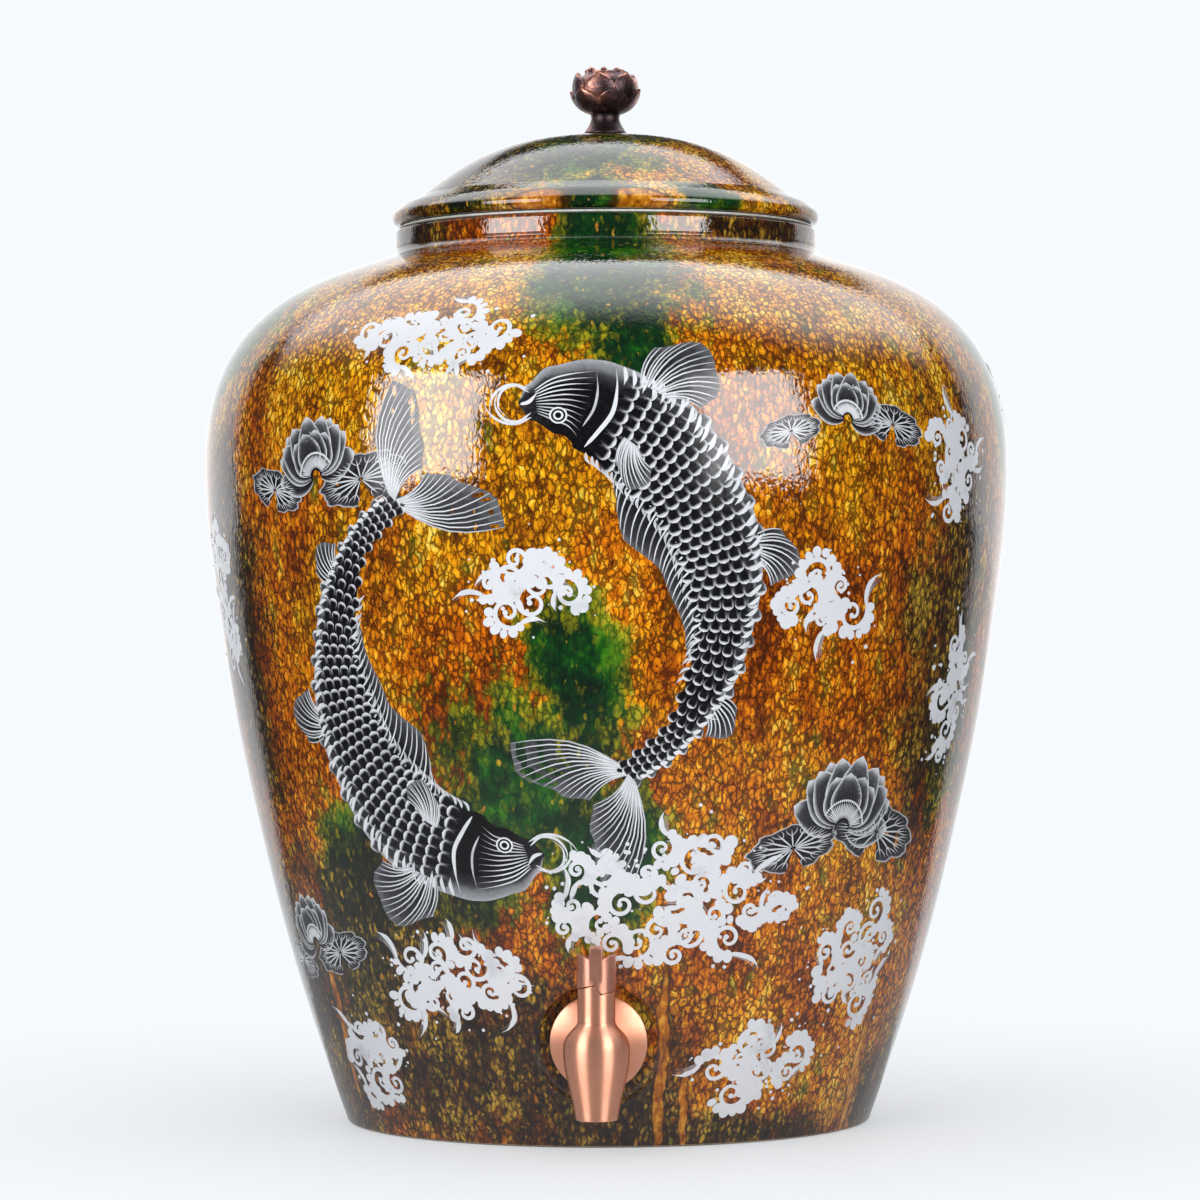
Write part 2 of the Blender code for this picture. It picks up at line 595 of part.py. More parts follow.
def build_knob(copper, silicone, steel):
    """The knob, the gasket under its foot, and its screw and washer."""
    bore = SCREW_RADIUS + CLEAR
    bore_top = SCREW_GRIP + CLEAR
    curl = PETAL_TIP_RADIUS - PETAL_NOTCH_RADIUS
    notch = PETAL_TIP_RISE - PETAL_DEPTH
    inner_curl = INNER_TIP_RADIUS - INNER_NOTCH_RADIUS
    inner_notch = INNER_TIP_RISE - INNER_DEPTH
    crown_foot = KNOB_HEIGHT - CROWN_RISE
    crown_edge = KNOB_HEIGHT - BEAD_HEIGHT
    rings = [
        [(0, 0, KNOB_BASE + bore_top)],
        bud_ring(bore, bore_top),
        bud_ring(bore, 0),
        bud_ring(KNOB_FOOT_RADIUS, 0),
        bud_ring(KNOB_FOOT_RADIUS, KNOB_FOOT_EDGE),
        bud_ring((KNOB_FOOT_RADIUS + KNOB_WAIST_RADIUS) / 2, KNOB_WAIST_RISE / 2),
        bud_ring(KNOB_WAIST_RADIUS, KNOB_WAIST_RISE),
        bud_ring(CUP_FOOT_RADIUS, CUP_FOOT_RISE),
        bud_ring(CUP_RADIUS, CUP_RISE, curl / 4),
        bud_ring(PETAL_NOTCH_RADIUS - PETAL_LIP / 2, notch - PETAL_LIP, curl / 3, PETAL_DEPTH / 2),
        bud_ring(PETAL_NOTCH_RADIUS, notch, curl, PETAL_DEPTH),
        bud_ring(PETAL_NOTCH_RADIUS - PETAL_THICKNESS, notch, curl / 4, PETAL_DEPTH - PETAL_LIP / 2),
        inner_ring(INNER_NOTCH_RADIUS, inner_notch - PETAL_LIP, inner_curl / 2, INNER_DEPTH / 2),
        inner_ring(INNER_NOTCH_RADIUS, inner_notch, inner_curl, INNER_DEPTH),
        inner_ring(INNER_NOTCH_RADIUS - PETAL_THICKNESS, inner_notch, 0, INNER_DEPTH * 0.75),
        crown_ring(CROWN_RADIUS, crown_foot, BEAD_WIDTH / 4),
        crown_ring(CROWN_RADIUS, crown_edge - PETAL_LIP / 2, BEAD_WIDTH / 2, BEAD_HEIGHT),
        crown_ring(CROWN_RADIUS - BEAD_WIDTH, crown_edge, 0, BEAD_HEIGHT),
        crown_ring(CROWN_RADIUS - 2 * BEAD_WIDTH, KNOB_HEIGHT - CROWN_DISH),
        [(0, 0, KNOB_BASE + crown_edge)],
    ]
    bm = bmesh.new()
    skin(bm, rings)
    place(bm, "lid_knob", copper, crease=28.0)
    gasket_low = DOME_TOP + CLEAR
    gasket = [
        (KNOB_HOLE_RADIUS, gasket_low),
        (KNOB_FOOT_RADIUS - CLEAR, gasket_low),
        (KNOB_FOOT_RADIUS - CLEAR, gasket_low + GASKET_THICKNESS),
        (KNOB_HOLE_RADIUS, gasket_low + GASKET_THICKNESS),
    ]
    turned("knob_gasket", gasket, TAP_SIDES // 2, silicone, closed=True)
    washer_top = DOME_TOP - LID_WALL - CLEAR
    washer_low = washer_top - SCREW_WASHER_THICKNESS
    washer = [
        (bore, washer_low),
        (SCREW_WASHER_RADIUS, washer_low),
        (SCREW_WASHER_RADIUS, washer_top),
        (bore, washer_top),
    ]
    turned("knob_screw_washer", washer, TAP_SIDES // 2, silicone, closed=True)
    head_top = washer_low - CLEAR
    head_low = head_top - SCREW_HEAD_HEIGHT
    screw = [
        (0, head_low),
        (SCREW_HEAD_RADIUS - SCREW_HEAD_EDGE, head_low + SCREW_HEAD_EDGE / 4),
        (SCREW_HEAD_RADIUS, head_low + SCREW_HEAD_HEIGHT / 2),
        (SCREW_HEAD_RADIUS, head_top),
        (SCREW_RADIUS, head_top),
        (SCREW_RADIUS, KNOB_BASE + SCREW_GRIP - SCREW_RADIUS / 2),
        (SCREW_RADIUS / 2, KNOB_BASE + SCREW_GRIP),
        (0, KNOB_BASE + SCREW_GRIP),
    ]
    screw = turned("knob_screw", screw, TAP_SIDES // 2, steel)
    slot = bar(2 * SCREW_HEAD_RADIUS, SCREW_SLOT_WIDTH)
    slot = as_tool(prism("screw_slot", slot, head_low - OVERRUN, head_low + SCREW_SLOT_DEPTH))
    combine(screw, slot, "DIFFERENCE")


# The tap: one casting with a shank through the wall, and a barrel cut to a two-step cam


def cam_height(angle):
    """Height of the cam at an angle in degrees: it climbs, then steps down, twice a turn."""
    lobe = 360.0 / CAM_STEPS
    along = (angle - CAM_STEP_AT + CAM_STEP_ANGLE / 2) % lobe
    if along < CAM_STEP_ANGLE:
        ease = along / CAM_STEP_ANGLE
        return CAM_HEIGHT + CAM_RISE * (1 - ease * ease * (3 - 2 * ease))
    return CAM_HEIGHT + CAM_RISE * (along - CAM_STEP_ANGLE) / (lobe - CAM_STEP_ANGLE)


def cam_tool(name, shift, far, sides=48):
    """A ring whose one end follows the cam, level along each radius."""
    inner = HANDLE_SKIRT_BORE - OVERRUN
    outer = HANDLE_RADIUS + 2 * OVERRUN
    rings = [[], [], [], []]
    for side in range(sides):
        degrees = 360.0 * side / sides
        direction = Vector((math.cos(math.radians(degrees)), math.sin(math.radians(degrees)), 0))
        cam = cam_height(degrees) + shift
        for ring, radius, height in zip(rings, (inner, outer, outer, inner), (cam, cam, far, far)):
            ring.append(direction * radius + Vector((0, 0, height)))
    bm = bmesh.new()
    skin(bm, rings + [rings[0]])
    return as_tool(place(bm, name, None, BARREL_ORIGIN))


def spout_profile():
    """Outside of the barrel, the bulb and the spout, from the lip to above the cam."""
    knots = [
        (SPOUT_RADIUS, SPOUT_HEIGHT + SPOUT_LIP, SPOUT_LEAN),
        (BULB_RADIUS, BULB_HEIGHT, 0.0),
        (BULB_CROWN_RADIUS, BULB_CROWN_HEIGHT, BULB_CROWN_LEAN),
        (BARREL_RADIUS, BARREL_FOOT_HEIGHT, 0.0),
    ]
    top = CAM_HEIGHT + CAM_RISE + OVERRUN
    lip = [(0, SPOUT_HEIGHT), (SPOUT_RADIUS - SPOUT_LIP, SPOUT_HEIGHT)]
    return lip + outline(knots, (6, 3, 3)) + [(BARREL_RADIUS, top), (0, top)]


def build_tap_body(copper):
    """The tap's casting: outside first, then the bores and the cam."""
    body = turned("tap_body", spout_profile(), TAP_SIDES, copper, at=BARREL_ORIGIN)
    tail = PAD_INNER_FACE - INNER_WASHER - NUT_WASHER - NUT_HEIGHT - 3 * CLEAR - SHANK_TAIL
    shank = [
        (0, tail),
        (SHANK_RADIUS - SHANK_CHAMFER, tail),
        (SHANK_RADIUS, tail + SHANK_CHAMFER),
        (SHANK_RADIUS, FLANGE_FRONT + CLEAR),
        (SHOULDER_RING_RADIUS, FLANGE_FRONT + CLEAR),
        (SHOULDER_RING_RADIUS, TAP_AXIS - BORE_RADIUS / 2),
        (0, TAP_AXIS - BORE_RADIUS / 2),
    ]
    shank = as_tool(turned("shank", shank, TAP_SIDES, at=SHANK_ORIGIN, turn=OUTWARD))
    mouth = SPOUT_RADIUS - SPOUT_WALL
    throat = VALVE_SEAT_HEIGHT - VALVE_SEAT_DEPTH
    beyond = FIN_TOP
    bore = [
        (0, SPOUT_HEIGHT - OVERRUN),
        (mouth, SPOUT_HEIGHT - OVERRUN),
        (mouth - SPOUT_TAPER, throat - SPOUT_THROAT_DROP),
        (VALVE_SEAT_RADIUS, throat),
        (VALVE_SEAT_RADIUS, VALVE_SEAT_HEIGHT),
        (BORE_RADIUS, VALVE_SEAT_HEIGHT),
        (BORE_RADIUS, beyond),
        (0, beyond),
    ]
    bore = as_tool(turned("barrel_bore", bore, TAP_SIDES, at=BARREL_ORIGIN))
    inlet = rod("inlet_bore", SHANK_BORE, tail - OVERRUN, TAP_AXIS - BORE_RADIUS / 2, TAP_SIDES // 2,
                SHANK_ORIGIN, OUTWARD)
    cam = cam_tool("cam_cutter", 0, beyond)
    combine(body, shank, "UNION")
    combine(body, bore, "DIFFERENCE")
    combine(body, inlet, "DIFFERENCE")
    combine(body, cam, "DIFFERENCE")


def flat_ring(name, inner, outer, near, far, material):
    """A washer on the shank between two distances from the jar's axis."""
    section = [(inner, near), (outer, near), (outer, far), (inner, far)]
    turned(name, section, TAP_SIDES, material, closed=True, at=SHANK_ORIGIN, turn=OUTWARD)


def build_clamp(copper, silicone, steel, brass):
    """What holds the tap in the wall: flange, washers and lock nut."""
    hollow = FLANGE_BACK + OUTER_WASHER + CLEAR
    flange = [
        (THREAD_HOLE, hollow),
        (OUTER_WASHER_RADIUS + CLEAR, hollow),
        (OUTER_WASHER_RADIUS + FLANGE_SLOPE, FLANGE_BACK),
        (FLANGE_RADIUS - FLANGE_EDGE, FLANGE_BACK),
        (FLANGE_RADIUS, FLANGE_BACK + FLANGE_RIM / 2),
        (FLANGE_RADIUS - FLANGE_EDGE, FLANGE_BACK + FLANGE_RIM),
        (FLANGE_RADIUS - FLANGE_SHOULDER, (FLANGE_BACK + FLANGE_RIM + FLANGE_FRONT) / 2),
        (SHOULDER_RING_RADIUS + FLANGE_CROWN, FLANGE_FRONT - FLANGE_EDGE),
        (SHOULDER_RING_RADIUS, FLANGE_FRONT),
        (THREAD_HOLE, FLANGE_FRONT),
    ]
    turned("tap_flange", flange, TAP_SIDES, copper, closed=True, at=SHANK_ORIGIN, turn=OUTWARD)
    flat_ring("tap_outer_washer", THREAD_HOLE, OUTER_WASHER_RADIUS,
              FLANGE_BACK, FLANGE_BACK + OUTER_WASHER, silicone)
    washer_far = PAD_INNER_FACE - CLEAR
    washer_near = washer_far - INNER_WASHER
    flat_ring("tap_inner_washer", THREAD_HOLE, INNER_WASHER_RADIUS, washer_near, washer_far, silicone)
    plate_near = washer_near - CLEAR - NUT_WASHER
    flat_ring("tap_nut_washer", THREAD_HOLE, NUT_WASHER_RADIUS, plate_near, washer_near - CLEAR, steel)
    nut_near = plate_near - CLEAR - NUT_HEIGHT
    nut_far = plate_near - CLEAR
    nut = prism("tap_lock_nut", polygon(6, NUT_ACROSS_FLATS), nut_near, nut_far, brass,
                SHANK_ORIGIN, OUTWARD)
    corner = NUT_ACROSS_FLATS / 2 / math.cos(math.pi / 6)
    chamfer = corner - NUT_ACROSS_FLATS / 2
    limit = [
        (0, nut_near - OVERRUN / 2),
        (NUT_ACROSS_FLATS / 2 - OVERRUN / 2, nut_near - OVERRUN / 2),
        (corner + OVERRUN / 2, nut_near + chamfer),
        (corner + OVERRUN / 2, nut_far + OVERRUN),
        (0, nut_far + OVERRUN),
    ]
    limit = as_tool(turned("nut_chamfer", limit, TAP_SIDES // 2, at=SHANK_ORIGIN, turn=OUTWARD))
    thread = rod("nut_bore", THREAD_HOLE, nut_near - OVERRUN, nut_far + OVERRUN, TAP_SIDES,
                 SHANK_ORIGIN, OUTWARD)
    combine(nut, limit, "INTERSECT")
    combine(nut, thread, "DIFFERENCE")


# The valve: a sprung stem whose stopper closes the seat under the inlet


def build_valve(brass, silicone, steel):
    """Gland, O-ring, stem, stopper and spring."""
    sides = TAP_SIDES // 2 + 4
    gland_radius = BORE_RADIUS - CLEAR
    gland_top = GLAND_HEIGHT + GLAND_LENGTH
    stem_hole = STEM_RADIUS + CLEAR
    groove = stem_hole + 2 * O_RING_SECTION + CLEAR
    groove_low = GLAND_HEIGHT + O_RING_GROOVE_RISE
    gland = [
        (stem_hole, GLAND_HEIGHT),
        (gland_radius, GLAND_HEIGHT),
        (gland_radius, gland_top),
        (stem_hole, gland_top),
        (stem_hole, groove_low + O_RING_GROOVE),
        (groove, groove_low + O_RING_GROOVE),
        (groove, groove_low),
        (stem_hole, groove_low),
    ]
    gland = turned("gland_bush", gland, sides, brass, closed=True, at=BARREL_ORIGIN)
    slot = bar(BORE_RADIUS + OVERRUN, GLAND_SLOT)
    slot = prism("gland_slot", slot, gland_top - GLAND_SLOT_DEPTH, gland_top + OVERRUN, at=BARREL_ORIGIN)
    combine(gland, as_tool(slot), "DIFFERENCE")
    ring_radius = stem_hole + O_RING_SLACK + O_RING_SECTION
    ring_height = groove_low + O_RING_GROOVE / 2
    section = arc((ring_radius, ring_height), O_RING_SECTION, 0, 360, 6)[:-1]
    turned("gland_o_ring", section, sides, silicone, closed=True, at=BARREL_ORIGIN)

    stopper_low = VALVE_SEAT_HEIGHT + CLEAR
    stopper_top = stopper_low + STOPPER_LENGTH
    button_low = stopper_low + STOPPER_SOLE + CLEAR
    button_top = button_low + STEM_BUTTON
    stopper = [
        (0, stopper_low),
        (STOPPER_RADIUS - STOPPER_EDGE, stopper_low),
        (STOPPER_RADIUS, stopper_low + STOPPER_EDGE),
        (STOPPER_RADIUS, stopper_top - STOPPER_EDGE),
        (STOPPER_RADIUS - STOPPER_EDGE, stopper_top),
        (STEM_NECK_RADIUS + CLEAR, stopper_top),
        (STEM_NECK_RADIUS + CLEAR, button_top + CLEAR),
        (STEM_BUTTON_RADIUS + CLEAR, button_top + CLEAR),
        (STEM_BUTTON_RADIUS + CLEAR, button_low - CLEAR),
        (0, button_low - CLEAR),
    ]
    turned("valve_stopper", stopper, sides, silicone, at=BARREL_ORIGIN)
    stem = [
        (0, button_low),
        (STEM_BUTTON_RADIUS, button_low),
        (STEM_BUTTON_RADIUS, button_top),
        (STEM_NECK_RADIUS, button_top),
        (STEM_NECK_RADIUS, stopper_top + CLEAR),
        (STEM_RADIUS, stopper_top + 2 * CLEAR),
        (STEM_RADIUS, COLLAR_HEIGHT),
        (COLLAR_RADIUS, COLLAR_HEIGHT),
        (COLLAR_RADIUS, COLLAR_HEIGHT + COLLAR),
        (STEM_RADIUS, COLLAR_HEIGHT + COLLAR),
        (STEM_RADIUS, STEM_TOP_HEIGHT - CLEAR),
        (STEM_RADIUS - CLEAR, STEM_TOP_HEIGHT),
        (0, STEM_TOP_HEIGHT),
    ]
    stem = turned("valve_stem", stem, sides, steel, at=BARREL_ORIGIN)
    flat_low = GRUB_HEIGHT - 2 * GRUB_RADIUS
    flat_at = STEM_RADIUS - STEM_FLAT
    past = STEM_RADIUS + OVERRUN
    flat = [(-past, flat_at), (past, flat_at), (past, past), (-past, past)]
    flat = prism("stem_flat", flat, flat_low, STEM_TOP_HEIGHT + OVERRUN, at=BARREL_ORIGIN)
    combine(stem, as_tool(flat), "DIFFERENCE")

    coil = bpy.data.curves.new("valve_spring", "CURVE")
    coil.dimensions = "3D"
    coil.bevel_depth = SPRING_WIRE
    coil.bevel_resolution = 1
    coil.use_fill_caps = True
    low = COLLAR_HEIGHT + COLLAR + CLEAR + SPRING_WIRE
    high = GLAND_HEIGHT - CLEAR - SPRING_WIRE
    count = SPRING_TURNS * SPRING_POINTS_PER_TURN
    wire = coil.splines.new("POLY")
    wire.points.add(count)
    for index in range(count + 1):
        angle = FULL_TURN * index / SPRING_POINTS_PER_TURN
        height = low + (high - low) * index / count
        across = SPRING_RADIUS * math.cos(angle)
        wire.points[index].co = (across, SPRING_RADIUS * math.sin(angle), height, 1)
    coil.materials.append(steel)
    spring = bpy.data.objects.new("valve_spring", coil)
    spring.location = BARREL_ORIGIN
    bpy.context.scene.collection.objects.link(spring)


# The handle: a copper cap that rides on the cam, with a thumb fin across its top


def build_handle(copper, steel):
    """The handle and the grub screw that fixes it to the stem from behind."""
    low = CAM_HEIGHT - OVERRUN
    blank = [
        (0, low),
        (HANDLE_RADIUS, low),
        (HANDLE_RADIUS, FIN_TOP),
        (0, FIN_TOP),
    ]
    handle = turned("tap_handle", blank, TAP_SIDES, copper, at=BARREL_ORIGIN)
    wide = HANDLE_RADIUS * 1.5
    rise = wide * math.tan(math.radians(VALLEY_ANGLE))
    valley = [(-wide, VALLEY_HEIGHT + rise), (0, VALLEY_HEIGHT), (wide, VALLEY_HEIGHT + rise),
              (wide, FIN_TOP + wide), (-wide, FIN_TOP + wide)]
    valley = as_tool(prism("handle_valley", valley, -wide, wide, at=BARREL_ORIGIN, turn=OUTWARD))
    front = FIN_REACH
    back = FIN_REACH - FIN_SETBACK
    heel = HANDLE_RADIUS - FIN_SETBACK
    side_view = [
        (-heel, FIN_FOOT_HEIGHT),
        (-HANDLE_RADIUS, FIN_FOOT_HEIGHT + FIN_HEEL),
        (-front + FIN_SETBACK, VALLEY_HEIGHT),
        (-front, FIN_BROW_HEIGHT),
        (-front + FIN_SETBACK, FIN_TOP - FIN_DROP),
        (-front + FIN_SLOPE, FIN_TOP),
        (back - FIN_SLOPE, FIN_TOP),
        (back - FIN_SETBACK, FIN_TOP - FIN_DROP),
        (back, FIN_BROW_HEIGHT - FIN_DROP),
        (heel, VALLEY_HEIGHT - FIN_SLOPE),
        (heel - FIN_SLOPE, FIN_FOOT_HEIGHT),
    ]
    bm = bmesh.new()
    half = FIN_WIDTH / 2
    face = bm.faces.new([bm.verts.new((-half, y, z)) for y, z in side_view])
    grown = bmesh.ops.extrude_face_region(bm, geom=[face])
    moved = [item for item in grown["geom"] if isinstance(item, bmesh.types.BMVert)]
    bmesh.ops.translate(bm, verts=moved, vec=(FIN_WIDTH, 0, 0))
    fin = as_tool(place(bm, "handle_fin", None, BARREL_ORIGIN))
    rounding = fin.modifiers.new("fin_round", "BEVEL")
    rounding.width = FIN_ROUND
    rounding.segments = 3
    rounding.limit_method = "ANGLE"
    rounding.angle_limit = math.radians(60)
    stem_hole = STEM_RADIUS + CLEAR
    hollow = [
        (0, low - OVERRUN),
        (HANDLE_SKIRT_BORE, low - OVERRUN),
        (HANDLE_SKIRT_BORE, HANDLE_SKIRT_HEIGHT),
        (stem_hole, HANDLE_SKIRT_HEIGHT),
        (stem_hole, STEM_TOP_HEIGHT + CLEAR),
        (0, STEM_TOP_HEIGHT + CLEAR),
    ]
    hollow = as_tool(turned("handle_hollow", hollow, TAP_SIDES, at=BARREL_ORIGIN))
    cam = cam_tool("handle_cam_cutter", CAM_CLEAR, low - 2 * OVERRUN)
    grub_at = (0, -TAP_AXIS, GRUB_HEIGHT)
    inward = (-math.radians(90), 0, 0)
    grub_hole = rod("grub_hole", GRUB_RADIUS + CLEAR, STEM_RADIUS - OVERRUN, HANDLE_RADIUS + OVERRUN,
                    TAP_SIDES // 2, grub_at, inward)
    combine(handle, valley, "DIFFERENCE")
    combine(handle, fin, "UNION")
    combine(handle, hollow, "DIFFERENCE")
    combine(handle, cam, "DIFFERENCE")
    combine(handle, grub_hole, "DIFFERENCE")
    tip = STEM_RADIUS - STEM_FLAT + CLEAR
    grub = [
        (0, tip),
        (GRUB_RADIUS / 2, tip),
        (GRUB_RADIUS, tip + GRUB_RADIUS / 2),
        (GRUB_RADIUS, tip + GRUB_LENGTH),
        (0, tip + GRUB_LENGTH),
    ]
    grub = turned("handle_grub_screw", grub, TAP_SIDES // 2, steel, at=grub_at, turn=inward)
    end = tip + GRUB_LENGTH
    socket = prism("grub_socket", polygon(6, GRUB_SOCKET), end - GRUB_SOCKET_DEPTH, end + OVERRUN,
                   at=grub_at, turn=inward)
    combine(grub, as_tool(socket), "DIFFERENCE")


def main():
    clear_scene()
    glaze = make_material("amber_green_glaze", (0.42, 0.20, 0.03), 0.12, 0.0)
    copper = make_material("rose_copper", (0.78, 0.42, 0.30), 0.28, 1.0)
    dark_copper = make_material("antique_copper", (0.12, 0.07, 0.05), 0.40, 0.9)
    silicone = make_material("clear_silicone", (0.80, 0.79, 0.74), 0.50, 0.0)
    steel = make_material("plain_steel", (0.62, 0.62, 0.63), 0.30, 1.0)
    brass = make_material("yellow_brass", (0.72, 0.55, 0.25), 0.30, 1.0)
    build_jar(glaze)
    build_lid(glaze, silicone)
    build_knob(dark_copper, silicone, steel)
    build_tap_body(copper)
    build_clamp(copper, silicone, steel, brass)
    build_valve(brass, silicone, steel)
    build_handle(copper, steel)


main()
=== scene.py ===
"""A glazed stoneware drinks jar with a lotus-bud knob and a copper cam tap.

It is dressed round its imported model, in metres and in that model's frame: the origin is under
the middle of the foot, +Z is up and the tap faces -Y. Sizes named below are in millimetres.
"""
import bisect
import math
import random

import bmesh
import bpy
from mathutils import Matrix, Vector


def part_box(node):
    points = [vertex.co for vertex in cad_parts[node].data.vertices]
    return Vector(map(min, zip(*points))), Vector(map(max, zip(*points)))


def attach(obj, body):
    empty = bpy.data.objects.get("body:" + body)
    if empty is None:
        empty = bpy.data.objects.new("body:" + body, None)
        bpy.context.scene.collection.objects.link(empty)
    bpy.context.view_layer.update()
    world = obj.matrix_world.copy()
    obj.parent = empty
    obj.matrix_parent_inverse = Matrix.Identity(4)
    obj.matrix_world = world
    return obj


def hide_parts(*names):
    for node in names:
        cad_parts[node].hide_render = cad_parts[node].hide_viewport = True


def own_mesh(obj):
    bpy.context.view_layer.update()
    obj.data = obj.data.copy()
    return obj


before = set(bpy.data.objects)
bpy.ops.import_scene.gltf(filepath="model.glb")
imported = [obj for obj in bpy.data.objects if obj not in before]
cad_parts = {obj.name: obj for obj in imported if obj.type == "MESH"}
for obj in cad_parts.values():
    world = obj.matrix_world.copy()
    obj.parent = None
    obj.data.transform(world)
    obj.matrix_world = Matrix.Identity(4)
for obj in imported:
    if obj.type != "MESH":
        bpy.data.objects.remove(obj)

MM = 0.001
FULL_TURN = 2 * math.pi
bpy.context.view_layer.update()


# The jar's body. Stoneware thrown in one wall from the foot ring to the rim, with an
# upright seat for the tap let into the leaning wall, and dipped in a running amber glaze
# with green poured over it. It is plain inside and bare where it stands.

WALL_KNOTS = [
    (121.0, 1.5, 19.5),
    (156.8, 120.0, 13.2),
    (178.4, 230.0, 8.2),
    (185.2, 303.0, 0.0),
    (158.6, 370.4, -48.6),
    (101.2, 397.4, -72.0),
]
WALL_PULL = 0.36
WALL_THICKNESS = 9.6
PRINT_BUILD = 0.15
BELLY_HEIGHT = 303.0
NECK_RADIUS = 97.2
MOUTH_RADIUS = 87.6
RIM_HEIGHT = 410.9
RIM_ROUND = 2.0
FLOOR_HEIGHT = 12.0
FLOOR_FILLET = 10.0
TAP_HEIGHT = 47.5
SEAT_FACE = 135.5
SEAT_RADIUS = 25.4
SEAT_SHARP_EDGE = 1.7
SEAT_SOFT_EDGE = 4.8
PAD_FACE = 121.5
PAD_RADIUS = 30.9
SPOT_FACE = 122.0
SPOT_RADIUS = 16.6
TAP_HOLE_RADIUS = 8.8
WINDOW_LOW = 13.5
WINDOW_HIGH = 81.5
WINDOW_CELLS = 28
WINDOW_ANGLE = 16.0
SIDE_STEP = 3.0


def knot_line(knots, steps, pull):
    """Points (radius, height) of a smooth line through knots of radius, height and lean."""
    points = []
    for start, end in zip(knots, knots[1:]):
        a, b = Vector(start[:2]), Vector(end[:2])
        reach = (b - a).length * pull
        lean_a, lean_b = math.radians(start[2]), math.radians(end[2])
        a_pull = a + reach * Vector((math.sin(lean_a), math.cos(lean_a)))
        b_pull = b - reach * Vector((math.sin(lean_b), math.cos(lean_b)))
        for step in range(steps):
            t = step / steps
            u = 1 - t
            point = u**3 * a + 3 * u * u * t * a_pull + 3 * u * t * t * b_pull + t**3 * b
            points.append((point.x, point.y))
    return points + [tuple(knots[-1][:2])]


def moved_in(points, depth):
    """The same line moved inwards, square to itself."""
    moved = []
    for index, (radius, height) in enumerate(points):
        before = Vector(points[max(index - 1, 0)])
        after = Vector(points[min(index + 1, len(points) - 1)])
        along = (after - before).normalized()
        moved.append((radius - depth * along.y, height + depth * along.x))
    return moved


def radius_on(line, height):
    """Radius of a rising line at a height."""
    for (low_radius, low), (high_radius, high) in zip(line, line[1:]):
        if low <= height <= high:
            return low_radius + (high_radius - low_radius) * (height - low) / (high - low)
    return line[0][0] if height < line[0][1] else line[-1][0]


def arc(centre, radius, start, end, steps):
    """Points round a centre from one angle to another, in degrees."""
    turns = [math.radians(start + (end - start) * step / steps) for step in range(steps + 1)]
    return [(centre[0] + radius * math.cos(a), centre[1] + radius * math.sin(a)) for a in turns]


def ease(low, high, value):
    """0 below low, 1 above high, and smooth between."""
    t = min(max((value - low) / (high - low), 0.0), 1.0)
    return t * t * (3 - 2 * t)


def round_spot(radius, angle, height):
    """A place round the axis, from millimetres to metres. Angle 0 faces the front."""
    return radius * math.sin(angle) * MM, -radius * math.cos(angle) * MM, height * MM


def ring_of(bm, radius, height, angles):
    """Vertices round the axis, or a single one on it."""
    if radius < 1e-6:
        return [bm.verts.new((0, 0, height * MM))]
    return [bm.verts.new(round_spot(radius, angle, height)) for angle in angles]


def bridge(bm, low, high, skipped=(), finish=0):
    """Faces between two rings; a ring may be a single vertex."""
    count = max(len(low), len(high))
    for side in range(count):
        if side in skipped:
            continue
        corners = [low[side % len(low)], low[(side + 1) % len(low)]]
        corners += [high[(side + 1) % len(high)], high[side % len(high)]]
        face = list(dict.fromkeys(corners))
        bm.faces.new(face).material_index = finish


def even_angles(sides):
    """Angles of a ring with equal steps."""
    return [FULL_TURN * side / sides for side in range(sides)]


def turned(profile, sides, closed=True):
    """A turned form from (radius, height) points in millimetres; closed joins the ends."""
    bm = bmesh.new()
    rows = [ring_of(bm, radius, height, even_angles(sides)) for radius, height in profile]
    pairs = list(zip(rows, rows[1:])) + ([(rows[-1], rows[0])] if closed else [])
    for low, high in pairs:
        bridge(bm, low, high)
    return bm


def piece(bm, name, body, materials, replaced=(), crease=32.0, at=(0, 0, 0),
          turn=(0, 0, 0)):
    """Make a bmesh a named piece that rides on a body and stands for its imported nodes."""
    bmesh.ops.remove_doubles(bm, verts=bm.verts, dist=1e-7)
    bmesh.ops.recalc_face_normals(bm, faces=bm.faces)
    mesh = bpy.data.meshes.new(name)
    bm.to_mesh(mesh)
    bm.free()
    mesh.shade_smooth()
    mesh.set_sharp_from_angle(angle=math.radians(crease))
    for material in materials:
        mesh.materials.append(material)
    thing = bpy.data.objects.new(name, mesh)
    thing.location = at
    thing.rotation_euler = turn
    bpy.context.scene.collection.objects.link(thing)
    if body is None:
        return thing
    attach(thing, body)
    if replaced:
        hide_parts(*replaced)
    return thing


def srgb(red, green, blue):
    """A colour written as seen, from 0 to 255, for a socket that takes linear light."""
    parts = [part / 255 for part in (red, green, blue)]
    linear = [p / 12.92 if p <= 0.04045 else ((p + 0.055) / 1.055) ** 2.4 for p in parts]
    return (*linear, 1.0)


def add(tree, kind, wired=None, **settings):
    """A shader node with its settings made, and its inputs set or linked."""
    made = tree.nodes.new("ShaderNode" + kind)
    for name, value in settings.items():
        setattr(made, name, value)
    for key, value in (wired or {}).items():
        if isinstance(value, bpy.types.NodeSocket):
            tree.links.new(value, made.inputs[key])
        else:
            made.inputs[key].default_value = value
    return made


def calc(tree, operation, *values, clamp=False):
    """The result of a Math node."""
    node = add(tree, "Math", dict(enumerate(values)), operation=operation)
    node.use_clamp = clamp
    return node.outputs[0]


def vector_calc(tree, operation, *values):
    """The result of a Vector Math node."""
    return add(tree, "VectorMath", dict(enumerate(values)), operation=operation).outputs[0]


